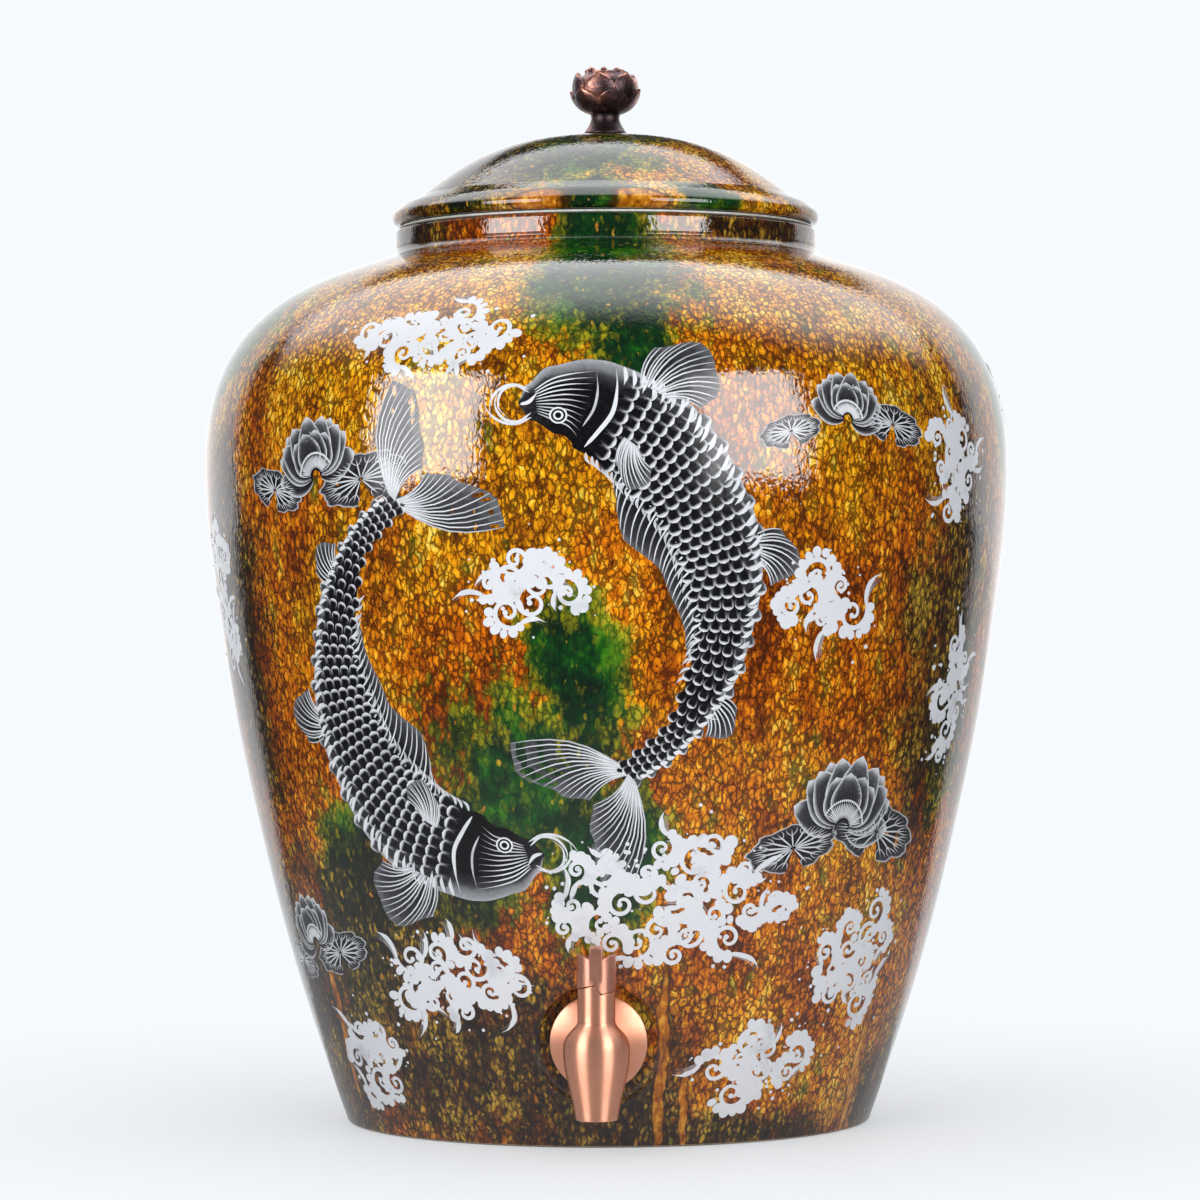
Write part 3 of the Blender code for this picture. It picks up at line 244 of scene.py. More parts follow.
def soft_step(tree, value, low, high, start=0.0, end=1.0):
    """Smooth change from start to end as a value goes from low to high."""
    wired = {"Value": value, "From Min": low, "From Max": high, "To Min": start, "To Max": end}
    return add(tree, "MapRange", wired, interpolation_type="SMOOTHSTEP").outputs[0]


def blend(tree, factor, first, second, way="MIX"):
    """One colour laid over another."""
    node = add(tree, "Mix", {0: factor, 6: first, 7: second}, data_type="RGBA", blend_type=way)
    return node.outputs[2]


def ramp(tree, factor, *stops):
    """A colour from a ramp of (place, colour) stops."""
    node = add(tree, "ValToRGB", {0: factor})
    marks = node.color_ramp.elements
    while len(marks) < len(stops):
        marks.new(0.5)
    for mark, (place, colour) in zip(marks, stops):
        mark.position = place
        mark.color = colour
    return node.outputs[0]


def grain(tree, place, scale, detail, roughness):
    """A noise value, 0.5 on average."""
    wired = {"Vector": place, "Scale": scale, "Detail": detail, "Roughness": roughness}
    return add(tree, "TexNoise", wired).outputs[0]


def node_group(name, sockets_in, sockets_out):
    """An empty node group with float, vector and colour sockets, and its two end nodes."""
    group = bpy.data.node_groups.new(name, "ShaderNodeTree")
    kinds = {"f": "NodeSocketFloat", "v": "NodeSocketVector", "c": "NodeSocketColor"}
    for label, kind in sockets_in:
        group.interface.new_socket(label, in_out="INPUT", socket_type=kinds[kind])
    for label, kind in sockets_out:
        group.interface.new_socket(label, in_out="OUTPUT", socket_type=kinds[kind])
    return group, group.nodes.new("NodeGroupInput").outputs, group.nodes.new("NodeGroupOutput")


def use(tree, group, **values):
    """A node group placed in a material; names with spaces are written with underscores."""
    node = add(tree, "Group", node_tree=group)
    for label, value in values.items():
        socket = node.inputs[label.replace("_", " ")]
        if isinstance(value, bpy.types.NodeSocket):
            tree.links.new(value, socket)
        else:
            socket.default_value = value
    return node.outputs


def finish_of(name, **constants):
    """A new material: its tree, its shader and the object coordinates."""
    material = bpy.data.materials.new(name)
    material.use_nodes = True
    tree = material.node_tree
    shader = tree.nodes["Principled BSDF"]
    for label, value in constants.items():
        shader.inputs[label.replace("_", " ")].default_value = value
    place = tree.nodes.new("ShaderNodeTexCoord").outputs["Object"]
    return material, tree, shader, place


def bumped(tree, shader, height, distance, strength):
    """A height that the shader shows as relief."""
    node = add(tree, "Bump", {"Height": height, "Distance": distance, "Strength": strength})
    tree.links.new(node.outputs[0], shader.inputs["Normal"])


def make_reactive_glaze():
    """Colour of the running glaze: stretched cells with dark veins, green pools and burnt brown,
    whose patches on the jar's sides and neck ends are partly painted shade.
    """
    group, given, out = node_group(
        "reactive_glaze",
        [("Place", "v"), ("Green", "f"), ("Brown", "f"), ("Amber", "f"), ("Stretch", "f")],
        [("Color", "c"), ("Height", "f")])
    t = group
    place = given["Place"]
    wander = add(t, "TexNoise", {"Vector": place, "Scale": 210.0, "Detail": 2.0}).outputs["Color"]
    wander = vector_calc(t, "SUBTRACT", wander, (0.5, 0.5, 0.5))
    wander = vector_calc(t, "MULTIPLY", wander, (0.0042, 0.0042, 0.0060))
    moved = vector_calc(t, "ADD", place, wander)
    parts = add(t, "SeparateXYZ", {0: moved}).outputs
    low = calc(t, "MULTIPLY", parts[2], given["Stretch"])
    drawn = add(t, "CombineXYZ", {0: parts[0], 1: parts[1], 2: low}).outputs[0]
    cell_grid = {"Vector": drawn, "Scale": 430.0}
    cells = add(t, "TexVoronoi", cell_grid, feature="F1").outputs
    rims = add(t, "TexVoronoi", cell_grid, feature="DISTANCE_TO_EDGE").outputs[0]
    chance = add(t, "SeparateColor", {0: cells["Color"]}).outputs
    ridge = calc(t, "ABSOLUTE", calc(t, "SUBTRACT", grain(t, drawn, 330.0, 3.0, 0.55), 0.5))
    fibre = grain(t, vector_calc(t, "MULTIPLY", moved, (760.0, 760.0, 150.0)), 1.0, 3.0, 0.6)
    mottle = grain(t, drawn, 150.0, 3.0, 0.6)
    runs = grain(t, vector_calc(t, "MULTIPLY", moved, (52.0, 52.0, 9.0)), 1.0, 4.0, 0.6)
    drift = grain(t, place, 15.0, 3.0, 0.55)
    patchy = grain(t, place, 48.0, 3.0, 0.6)

    tone = calc(t, "MULTIPLY_ADD", chance[0], 0.42, 0.34)
    for share, part in ((1.1, fibre), (0.9, mottle), (1.7, runs), (0.9, patchy)):
        tone = calc(t, "ADD", tone, calc(t, "MULTIPLY_ADD", part, share, -0.5 * share))
    tone = calc(t, "ADD", tone, calc(t, "MULTIPLY_ADD", cells["Distance"], -0.62, 0.24), clamp=True)
    honey = ramp(t, tone, (0.0, srgb(100, 40, 2)), (0.28, srgb(170, 82, 3)),
                 (0.55, srgb(216, 120, 5)), (0.80, srgb(240, 156, 16)), (1.0, srgb(250, 192, 62)))
    golden = ramp(t, tone, (0.0, srgb(114, 60, 2)), (0.28, srgb(190, 116, 4)),
                  (0.55, srgb(232, 156, 10)), (0.80, srgb(248, 188, 30)), (1.0, srgb(255, 216, 92)))
    ember = ramp(t, tone, (0.0, srgb(88, 32, 2)), (0.35, srgb(156, 70, 2)),
                 (0.65, srgb(204, 102, 4)), (0.90, srgb(232, 138, 14)), (1.0, srgb(246, 172, 46)))
    height = add(t, "SeparateXYZ", {0: place}).outputs[2]
    shoulder = calc(t, "MULTIPLY_ADD", soft_step(t, height, 0.24, 0.345), 0.23, drift)
    on_neck = calc(t, "MULTIPLY", soft_step(t, height, 0.391, 0.396),
                   soft_step(t, height, 0.413, 0.411))
    shoulder = calc(t, "MULTIPLY_ADD", on_neck, -0.45, shoulder)
    base = blend(t, soft_step(t, shoulder, 0.56, 0.70), honey, golden)
    base = blend(t, soft_step(t, shoulder, 0.53, 0.39), base, ember)

    width = calc(t, "MULTIPLY_ADD", mottle, 0.52, -0.16)
    vein = soft_step(t, calc(t, "SUBTRACT", rims, width), 0.045, -0.035)
    crack = soft_step(t, calc(t, "MULTIPLY_ADD", patchy, 0.03, ridge), 0.040, 0.020)
    thread = soft_step(t, fibre, 0.41, 0.30)
    dark = calc(t, "MAXIMUM", calc(t, "MULTIPLY", vein, 0.80), calc(t, "MULTIPLY", crack, 0.80))
    dark = calc(t, "MAXIMUM", dark, calc(t, "MULTIPLY", thread, 0.80))
    base = blend(t, dark, base, srgb(60, 27, 2))

    rough_edge = calc(t, "MULTIPLY_ADD", mottle, 1.1, -0.70)
    rough_edge = calc(t, "MULTIPLY_ADD", chance[1], 0.30, rough_edge)
    rough_edge = calc(t, "ADD", rough_edge, calc(t, "MULTIPLY_ADD", patchy, 1.1, -0.55))
    green = calc(t, "ADD", given["Green"], rough_edge)
    edge = soft_step(t, green, 0.16, 0.50)
    pool = soft_step(t, green, 0.40, 0.82)
    moss = blend(t, tone, srgb(54, 68, 5), srgb(176, 166, 28))
    moss = blend(t, calc(t, "MULTIPLY", dark, 0.8), moss, srgb(23, 40, 5))
    depth = calc(t, "MULTIPLY_ADD", patchy, 1.9, calc(t, "MULTIPLY_ADD", tone, 0.5, -0.74))
    deep = ramp(t, depth, (0.0, srgb(6, 25, 13)), (0.40, srgb(8, 43, 18)),
                (0.70, srgb(17, 74, 16)), (1.0, srgb(48, 116, 16)))
    base = blend(t, edge, base, moss)
    base = blend(t, pool, base, deep)

    # Burnt brown patches; on the jar, those at the wall's left and right sides and at the neck's
    # ends are partly painted shade where the wall turns away from the front
    brown = calc(t, "ADD", given["Brown"], rough_edge)
    burnt = ramp(t, tone, (0.0, srgb(13, 9, 5)), (0.42, srgb(36, 26, 10)), (0.68, srgb(74, 56, 17)),
                 (1.0, srgb(176, 140, 44)))
    burnt = blend(t, calc(t, "MULTIPLY", dark, 0.8), burnt, srgb(12, 8, 5))
    burnt_and_shade_share = calc(t, "MULTIPLY", soft_step(t, brown, -0.10, 0.95), 0.94)
    base = blend(t, burnt_and_shade_share, base, burnt)

    # soft drops of other glaze that float in the dark and green pools
    drops = add(t, "TexVoronoi", {"Vector": drawn, "Scale": 290.0, "Randomness": 1.0}).outputs
    luck = add(t, "SeparateColor", {0: drops["Color"]}).outputs
    size = calc(t, "MULTIPLY_ADD", luck[0], 0.40, -0.12)
    drop = soft_step(t, calc(t, "SUBTRACT", drops["Distance"], size), 0.10, -0.08)
    drop = calc(t, "MULTIPLY", drop, soft_step(t, luck[1], 0.38, 0.60))
    drop_colour = ramp(t, luck[2], (0.0, srgb(56, 98, 9)), (0.35, srgb(176, 154, 26)),
                       (0.65, srgb(241, 185, 51)), (1.0, srgb(222, 122, 40)))
    in_pools = calc(t, "MAXIMUM", pool, burnt_and_shade_share)
    drop = calc(t, "MULTIPLY", drop, calc(t, "MULTIPLY", in_pools, 0.54))
    base = blend(t, drop, base, drop_colour)

    # a run of amber with its own dark outline
    run = given["Amber"]
    run_colour = ramp(t, tone, (0.0, srgb(118, 58, 3)), (0.5, srgb(184, 108, 12)),
                      (1.0, srgb(234, 172, 56)))
    run_outline = calc(t, "MULTIPLY", soft_step(t, run, 0.10, 0.42), 0.85)
    run_middle = calc(t, "MULTIPLY", soft_step(t, run, 0.42, 0.70), 0.90)
    base = blend(t, run_outline, base, srgb(58, 28, 6))
    base = blend(t, run_middle, base, run_colour)
    t.links.new(base, out.inputs["Color"])
    swell = calc(t, "MULTIPLY_ADD", drift, 0.8, calc(t, "MULTIPLY", patchy, 0.35))
    swell = calc(t, "ADD", swell, calc(t, "MULTIPLY", rims, 0.22))
    t.links.new(swell, out.inputs["Height"])
    return group


def make_glaze_patch():
    """Mask of one pool of glaze with a wandering edge, on the wall rolled out flat."""
    group, given, out = node_group(
        "glaze_patch",
        [("Flat", "v"), ("Across", "f"), ("Up", "f"), ("Half width", "f"), ("Half height", "f"),
         ("Slant", "f"), ("Wander", "f")],
        [("Mask", "f")])
    t = group
    parts = add(t, "SeparateXYZ", {0: given["Flat"]}).outputs
    rise = calc(t, "SUBTRACT", parts[1], given["Up"])
    side = calc(t, "SUBTRACT", parts[0], given["Across"])
    side = calc(t, "SUBTRACT", side, calc(t, "MULTIPLY", rise, given["Slant"]))
    sway = grain(t, vector_calc(t, "MULTIPLY", given["Flat"], (0.25, 1.0, 1.0)), 46.0, 3.0, 0.6)
    side = calc(t, "ADD", side, calc(t, "MULTIPLY_ADD", sway, 0.012, -0.006))
    side = calc(t, "DIVIDE", side, given["Half width"])
    rise = calc(t, "DIVIDE", rise, given["Half height"])
    away = calc(t, "ADD", calc(t, "MULTIPLY", side, side), calc(t, "MULTIPLY", rise, rise))
    away = calc(t, "SQRT", away)
    stretched = vector_calc(t, "MULTIPLY", given["Flat"], (1.0, 0.6, 1.0))
    edge = calc(t, "SUBTRACT", grain(t, stretched, 34.0, 4.0, 0.6), 0.5)
    away = calc(t, "ADD", away, calc(t, "MULTIPLY", edge, given["Wander"]))
    t.links.new(soft_step(t, away, 1.35, 0.30), out.inputs["Mask"])
    return group


def make_rolled_out():
    """The wall rolled out flat: the arc round from the front, then the height."""
    group, given, out = node_group("rolled_out", [("Place", "v"), ("Radius", "f")], [("Flat", "v")])
    parts = add(group, "SeparateXYZ", {0: given["Place"]}).outputs
    front = calc(group, "MULTIPLY", parts[1], -1.0)
    arc_length = calc(group, "MULTIPLY", calc(group, "ARCTAN2", parts[0], front), given["Radius"])
    flat = add(group, "CombineXYZ", {0: arc_length, 1: parts[2]}).outputs[0]
    group.links.new(flat, out.inputs["Flat"])
    return group


reactive_glaze = make_reactive_glaze()
glaze_patch = make_glaze_patch()
rolled_out = make_rolled_out()


def pools(tree, flat, spots):
    """The greatest of several pool masks: across, up, half width, half height, slant, wander."""
    total = None
    for across, up, half_width, half_height, slant, wander in spots:
        mask = use(tree, glaze_patch, Flat=flat, Across=across, Up=up, Half_width=half_width,
                   Half_height=half_height, Slant=slant, Wander=wander)[0]
        total = mask if total is None else calc(tree, "MAXIMUM", total, mask)
    return total


def glazed(name, flat_of, greens, browns, ambers, stretch, gloss_index):
    """A glossy glaze material with its pools where a piece has them."""
    material, tree, shader, place = finish_of(name, Roughness=0.035, IOR=gloss_index)
    flat = flat_of(tree, place)
    masks = [pools(tree, flat, spots) for spots in (greens, browns, ambers)]
    glaze = use(tree, reactive_glaze, Place=place, Green=masks[0], Brown=masks[1], Amber=masks[2],
                Stretch=stretch)
    tree.links.new(glaze["Color"], shader.inputs["Base Color"])
    bumped(tree, shader, glaze["Height"], 0.0009, 0.42)
    return material


UNROLL_RADIUS = 0.165
# Pools in metres on the wall rolled out: across, up, half width, half height, slant, wander
JAR_GREENS = [
    (0.004, 0.404, 0.044, 0.074, 0.0, 0.8),
    (0.016, 0.345, 0.022, 0.028, 0.0, 0.9),
    (-0.006, 0.206, 0.022, 0.044, -0.10, 1.2),
    (-0.030, 0.160, 0.040, 0.044, -0.35, 1.2),
    (0.004, 0.124, 0.034, 0.040, 0.2, 1.2),
    (-0.062, 0.128, 0.036, 0.040, 0.3, 1.3),
    (-0.092, 0.152, 0.018, 0.028, 0.3, 1.3),
    (-0.128, 0.106, 0.026, 0.060, 0.15, 1.2),
    (-0.215, 0.366, 0.044, 0.044, 0.0, 1.1),
    (0.232, 0.340, 0.024, 0.060, 0.0, 1.1),
    (0.190, 0.190, 0.020, 0.052, 0.0, 1.2),
    (-0.300, 0.190, 0.034, 0.080, 0.3, 1.2),
    (0.330, 0.385, 0.052, 0.080, 0.0, 1.1),
    (0.352, 0.150, 0.040, 0.070, -0.3, 1.2),
    (-0.420, 0.330, 0.036, 0.100, 0.15, 1.2),
    (0.440, 0.250, 0.036, 0.066, 0.0, 1.2),
]
JAR_BROWNS_AND_SIDE_SHADE = [
    (-0.062, 0.034, 0.090, 0.046, 0.2, 1.0),
    (-0.120, 0.084, 0.070, 0.060, 0.4, 1.3),
    (-0.205, 0.050, 0.090, 0.090, 0.0, 1.2),
    (0.000, 0.020, 0.056, 0.050, 0.0, 0.9),
    (0.060, 0.002, 0.080, 0.016, 0.0, 0.9),
    (0.118, 0.002, 0.050, 0.012, 0.0, 0.9),
    # The next four darken the ends of the neck band and the wall's left and right sides: brown
    # glaze, deepened there as painted shade
    (-0.190, 0.404, 0.075, 0.013, 0.0, 0.6),
    (0.150, 0.405, 0.090, 0.010, 0.0, 0.7),
    (0.176, 0.232, 0.040, 0.110, 0.0, 1.9),
    (-0.192, 0.236, 0.030, 0.110, 0.0, 1.7),
    (0.240, 0.020, 0.070, 0.036, 0.0, 1.2),
    (-0.362, 0.028, 0.080, 0.050, 0.0, 1.2),
    (0.385, 0.016, 0.070, 0.034, 0.0, 1.2),
]
JAR_AMBERS = [
    (0.0335, 0.030, 0.0038, 0.050, 0.0, 0.9),
    (0.0480, 0.014, 0.0030, 0.026, -0.04, 0.9),
    (-0.168, 0.052, 0.0030, 0.048, 0.20, 0.9),
    (0.172, 0.030, 0.0042, 0.044, -0.12, 0.9),
    (-0.380, 0.050, 0.0050, 0.050, 0.0, 0.9),
    (0.420, 0.040, 0.0040, 0.046, 0.0, 0.9),
]


def jar_flat(tree, place):
    """The jar's wall rolled out."""
    return use(tree, rolled_out, Place=place, Radius=UNROLL_RADIUS)[0]


jar_glaze = glazed("amber_green_glaze", jar_flat, JAR_GREENS, JAR_BROWNS_AND_SIDE_SHADE, JAR_AMBERS, 0.46, 1.68)


def make_inner_glaze():
    """The plain liner glaze of the inside, honey brown with small pinholes."""
    material, tree, shader, place = finish_of("liner_glaze", Roughness=0.16, IOR=1.5)
    mottle = grain(tree, place, 60.0, 4.0, 0.6)
    pins = add(tree, "TexVoronoi", {"Vector": place, "Scale": 260.0}).outputs["Distance"]
    colour = ramp(tree, mottle, (0.3, srgb(70, 42, 18)), (0.7, srgb(92, 60, 30)))
    colour = blend(tree, soft_step(tree, pins, 0.08, 0.03), colour, srgb(40, 24, 12))
    tree.links.new(colour, shader.inputs["Base Color"])
    bumped(tree, shader, mottle, 0.0008, 0.4)
    return material


def make_bare_clay():
    """Unglazed stoneware on the foot: buff clay with iron specks."""
    material, tree, shader, place = finish_of("bare_stoneware", Roughness=0.82)
    grit = grain(tree, place, 900.0, 3.0, 0.7)
    specks = add(tree, "TexVoronoi", {"Vector": place, "Scale": 520.0}).outputs["Distance"]
    colour = ramp(tree, grit, (0.35, srgb(140, 122, 100)), (0.65, srgb(176, 158, 134)))
    colour = blend(tree, soft_step(tree, specks, 0.16, 0.08), colour, srgb(82, 62, 44))
    tree.links.new(colour, shader.inputs["Base Color"])
    bumped(tree, shader, grit, 0.0004, 0.7)
    return material


inner_glaze = make_inner_glaze()
bare_clay = make_bare_clay()
GLAZE_SIDE, LINER_SIDE, BARE_SIDE = 0, 1, 2

outer_line = moved_in(knot_line(WALL_KNOTS, 40, WALL_PULL), PRINT_BUILD)
inner_line = moved_in(outer_line, WALL_THICKNESS - PRINT_BUILD)
window_heights = [WINDOW_LOW + (WINDOW_HIGH - WINDOW_LOW) * cell / WINDOW_CELLS
                  for cell in range(WINDOW_CELLS + 1)]
upper_heights = [WINDOW_HIGH + (BELLY_HEIGHT - WINDOW_HIGH) * step / 34 for step in range(1, 34)]


def inner_radius(height):
    """Radius of the inside: the wall, and the fillet where it meets the floor."""
    lowest = FLOOR_HEIGHT + FLOOR_FILLET
    corner = radius_on(inner_line, lowest)
    if height >= lowest:
        return radius_on(inner_line, height)
    drop = min(lowest - height, FLOOR_FILLET)
    return corner - FLOOR_FILLET + math.sqrt(FLOOR_FILLET**2 - drop**2)


def jar_rows():
    """(radius, height, finish) of every ring, from under the floor round to its top."""
    foot = [(0, 3.0), (60, 3.0), (99.5, 3.0), (101.3, 2.6), (103.6, 0.5), (104.5, 0.12),
            (105.6, 0.0), (112.0, 0.0), (118.6, 0.0), (119.8, 0.35), (120.6, 0.9)]
    outside = [(radius_on(outer_line, height), height) for height in (1.5, 3.0, 5.5, 8.0, 10.8)]
    outside += [(radius_on(outer_line, height), height)
                for height in window_heights + upper_heights]
    outside += [point for point in outer_line[120:] if point[1] >= BELLY_HEIGHT][::2]
    neck = [(101.2, 397.4), (99.6, 398.1), (98.3, 399.1), (97.4, 400.3), (96.95, 401.2),
            (96.9, 401.6), (97.0, 401.9)]
    neck += [(NECK_RADIUS, height) for height in (402.2, 402.9, 406.0, 408.4)]
    rim = arc((NECK_RADIUS - RIM_ROUND, RIM_HEIGHT - RIM_ROUND), RIM_ROUND, 0, 90, 6)
    rim += arc((MOUTH_RADIUS + RIM_ROUND, RIM_HEIGHT - RIM_ROUND), RIM_ROUND, 90, 180, 6)
    throat = [(MOUTH_RADIUS, 404.0), (MOUTH_RADIUS, 398.0), (MOUTH_RADIUS + 0.3, 395.0),
              (MOUTH_RADIUS + 2.2, 392.4), (MOUTH_RADIUS + 6.0, 390.4)]
    inside = [point for point in reversed(inner_line[120:]) if point[1] >= BELLY_HEIGHT][::3]
    inside += [(inner_radius(height), height)
               for height in reversed(window_heights + upper_heights[::2])]
    floor = [(inner_radius(height), height) for height in (12.7, 12.2, FLOOR_HEIGHT)]
    floor += [(70.0, FLOOR_HEIGHT), (35.0, FLOOR_HEIGHT), (0, FLOOR_HEIGHT)]
    rows = [(radius, height, BARE_SIDE) for radius, height in foot]
    rows += [(radius, height, GLAZE_SIDE) for radius, height in outside[:-1] + neck + rim]
    return rows + [(radius, height, LINER_SIDE) for radius, height in throat + inside + floor]


def window_loop(grid, rows, columns):
    """The vertices round a window in the grid, anticlockwise as seen from the front."""
    low, high = rows
    left, right = columns
    step = 1 if high > low else -1
    loop = [grid[low][column] for column in range(left, right)]
    loop += [grid[row][right] for row in range(low, high, step)]
    loop += [grid[high][column] for column in range(right, left, -1)]
    return loop + [grid[row][left] for row in range(high, low, -step)]


def seat_outside(x, height, away):
    """Distance from the axis plane of the wall's outside round the seat."""
    wall = math.sqrt(radius_on(outer_line, height) ** 2 - x * x)
    edge = SEAT_SOFT_EDGE + (SEAT_SHARP_EDGE - SEAT_SOFT_EDGE) * ease(-1.0, 2.0, wall - SEAT_FACE)
    share = ease(SEAT_RADIUS - 0.4, SEAT_RADIUS - 0.4 + edge, away)
    return SEAT_FACE + (wall - SEAT_FACE) * share


def seat_inside(x, height, away):
    """Distance of the wall's inside round the pad that backs the seat."""
    wall = math.sqrt(inner_radius(height) ** 2 - x * x)
    pad = wall + (min(wall, PAD_FACE) - wall) * (1 - ease(PAD_RADIUS - 0.5, PAD_RADIUS + 1.0, away))
    return pad + (SPOT_FACE - pad) * (1 - ease(SPOT_RADIUS - 0.2, SPOT_RADIUS + 0.2, away))


def fill_window(bm, loop, angles, radii, surface, finish):
    """Rings from a window's edge in to the tap's hole; gives the last ring."""
    ring = loop
    centre = Vector((0, TAP_HEIGHT))
    for share in (0.34, 0.67):
        flat = []
        for vertex, angle in zip(loop, angles):
            edge = Vector((vertex.co.x, vertex.co.z)) / MM
            circle = centre + radii[0] * Vector((math.cos(angle), math.sin(angle)))
            flat.append(edge.lerp(circle, share))
        ring = next_ring(bm, ring, flat, surface, finish)
    for radius in radii:
        flat = [centre + radius * Vector((math.cos(angle), math.sin(angle))) for angle in angles]
        ring = next_ring(bm, ring, flat, surface, finish)
    return ring


def next_ring(bm, ring, flat, surface, finish):
    """One more ring of wall, from points (x, height)."""
    grown = []
    for x, height in flat:
        away = math.hypot(x, height - TAP_HEIGHT)
        grown.append(bm.verts.new((x * MM, -surface(x, height, away) * MM, height * MM)))
    bridge(bm, ring, grown, finish=finish)
    return grown


# Radii of the rings round the tap's hole, outside on the seat and inside on the pad
SEAT_RINGS = (30.6, 29.6, 28.6, 27.6, 27.0, 26.5, 26.1, 25.7, 25.3, 25.0, 24.4, 22.0, 16.0,
              10.6, 9.3)
PAD_RINGS = (32.2, 31.6, 31.1, 30.6, 30.2, 26.0, 20.0, 16.8, 16.4, 12.0, 9.3)


def build_jar():
    """The jar's closed mesh, with the seat, the pad behind it and the hole for the shank."""
    bm = bmesh.new()
    half = WINDOW_CELLS // 2
    front = [math.radians(WINDOW_ANGLE * column / half) for column in range(-half, half + 1)]
    rest_count = round((360 - 2 * WINDOW_ANGLE) / SIDE_STEP)
    rest_step = (FULL_TURN - 2 * math.radians(WINDOW_ANGLE)) / rest_count
    angles = front + [front[-1] + rest_step * step for step in range(1, rest_count)]
    rows = jar_rows()
    grid = [ring_of(bm, radius, height, angles) for radius, height, finish in rows]
    heights = [height for radius, height, finish in rows]
    low_out = heights.index(WINDOW_LOW)
    high_out = heights.index(WINDOW_HIGH)
    backwards = heights[::-1]
    low_in = len(rows) - 1 - backwards.index(WINDOW_LOW)
    high_in = len(rows) - 1 - backwards.index(WINDOW_HIGH)
    open_rows = set(range(low_out, high_out)) | set(range(high_in, low_in))
    for row, (low, high) in enumerate(zip(grid, grid[1:])):
        skipped = range(WINDOW_CELLS) if row in open_rows else ()
        bridge(bm, low, high, skipped, rows[row + 1][2])
    outer_loop = window_loop(grid, (low_out, high_out), (0, WINDOW_CELLS))
    inner_loop = window_loop(grid, (low_in, high_in), (0, WINDOW_CELLS))
    hole_angles = [math.atan2(vertex.co.z / MM - TAP_HEIGHT, vertex.co.x / MM)
                   for vertex in outer_loop]
    ring = fill_window(bm, outer_loop, hole_angles, SEAT_RINGS, seat_outside, GLAZE_SIDE)
    inner_hole = fill_window(bm, inner_loop, hole_angles, PAD_RINGS, seat_inside, LINER_SIDE)
    for depth in (SEAT_FACE - 0.5, (SEAT_FACE + SPOT_FACE) / 2, SPOT_FACE + 0.5):
        grown = [bm.verts.new((TAP_HOLE_RADIUS * math.cos(a) * MM, -depth * MM,
                               (TAP_HEIGHT + TAP_HOLE_RADIUS * math.sin(a)) * MM))
                 for a in hole_angles]
        bridge(bm, ring, grown, finish=BARE_SIDE)
        ring = grown
    bridge(bm, ring, inner_hole, finish=BARE_SIDE)
    return bm


piece(build_jar(), "jar_wall", "jar", [jar_glaze, inner_glaze, bare_clay], ["jar_body"],
      crease=50.0)


# The print. Silver and black overglaze transfers, fired on the glaze: two carp that circle each
# other, open lotus flowers with their leaves, and cloud scrolls. They stand a hair proud.

UNDER_FACE = -0.05
TAP_CLEARANCE = 33.0
PRINT_LOW = 9.0
PRINT_TOP_MARGIN = 14.0
STROKE_START = 0.35
FIN_PALE = 0.42


def wall_table():
    """Along the wall from its foot: distance, radius, height and the outward direction."""
    table, reach = [], 0.0
    for index, (radius, height) in enumerate(outer_line):
        before = Vector(outer_line[max(index - 1, 0)])
        after = Vector(outer_line[min(index + 1, len(outer_line) - 1)])
        along = (after - before).normalized()
        reach += (Vector((radius, height)) - Vector(outer_line[max(index - 1, 0)])).length
        table.append((reach, radius, height, along.y, -along.x))
    return table


wall = wall_table()
wall_marks = [row[0] for row in wall]


def wall_at(along):
    """Radius, height and outward direction at a distance along the wall."""
    high = min(max(bisect.bisect(wall_marks, along), 1), len(wall) - 1)
    low = high - 1
    share = (along - wall_marks[low]) / (wall_marks[high] - wall_marks[low])
    return [a + (b - a) * share for a, b in zip(wall[low][1:], wall[high][1:])]


def curve_through(points, steps):
    """A smooth flat line through points."""
    knots = [Vector(point) for point in points]
    knots = [2 * knots[0] - knots[1]] + knots + [2 * knots[-1] - knots[-2]]
    line = []
    for a, b, c, d in zip(knots, knots[1:], knots[2:], knots[3:]):
        for step in range(steps):
            t = step / steps
            bend = (2 * a - 5 * b + 4 * c - d) * t * t + (3 * b - a - 3 * c + d) * t**3
            line.append(0.5 * (2 * b + (c - a) * t + bend))
    return line + [knots[-2]]


def graph(marks, value):
    """Height of a line through (place, height) marks, eased between them."""
    for (low, start), (high, end) in zip(marks, marks[1:]):
        if value <= high:
            return start + (end - start) * ease(low, high, value)
    return marks[-1][1]


def heading(angle):
    """A flat direction from an angle in radians."""
    return Vector((math.cos(angle), math.sin(angle)))


def close_sheet(bm, upper, lower):
    """Faces of a thin sheet between two grids of vertices, with its four edges closed."""
    last, wide = len(upper) - 1, len(upper[0]) - 1
    for i in range(last):
        for j in range(wide):
            for rows in (upper, lower):
                bm.faces.new((rows[i][j], rows[i][j + 1], rows[i + 1][j + 1], rows[i + 1][j]))
        for j in (0, wide):
            bm.faces.new((upper[i][j], lower[i][j], lower[i + 1][j], upper[i + 1][j]))
    for i in (0, last):
        for j in range(wide):
            bm.faces.new((upper[i][j], lower[i][j], lower[i][j + 1], upper[i][j + 1]))


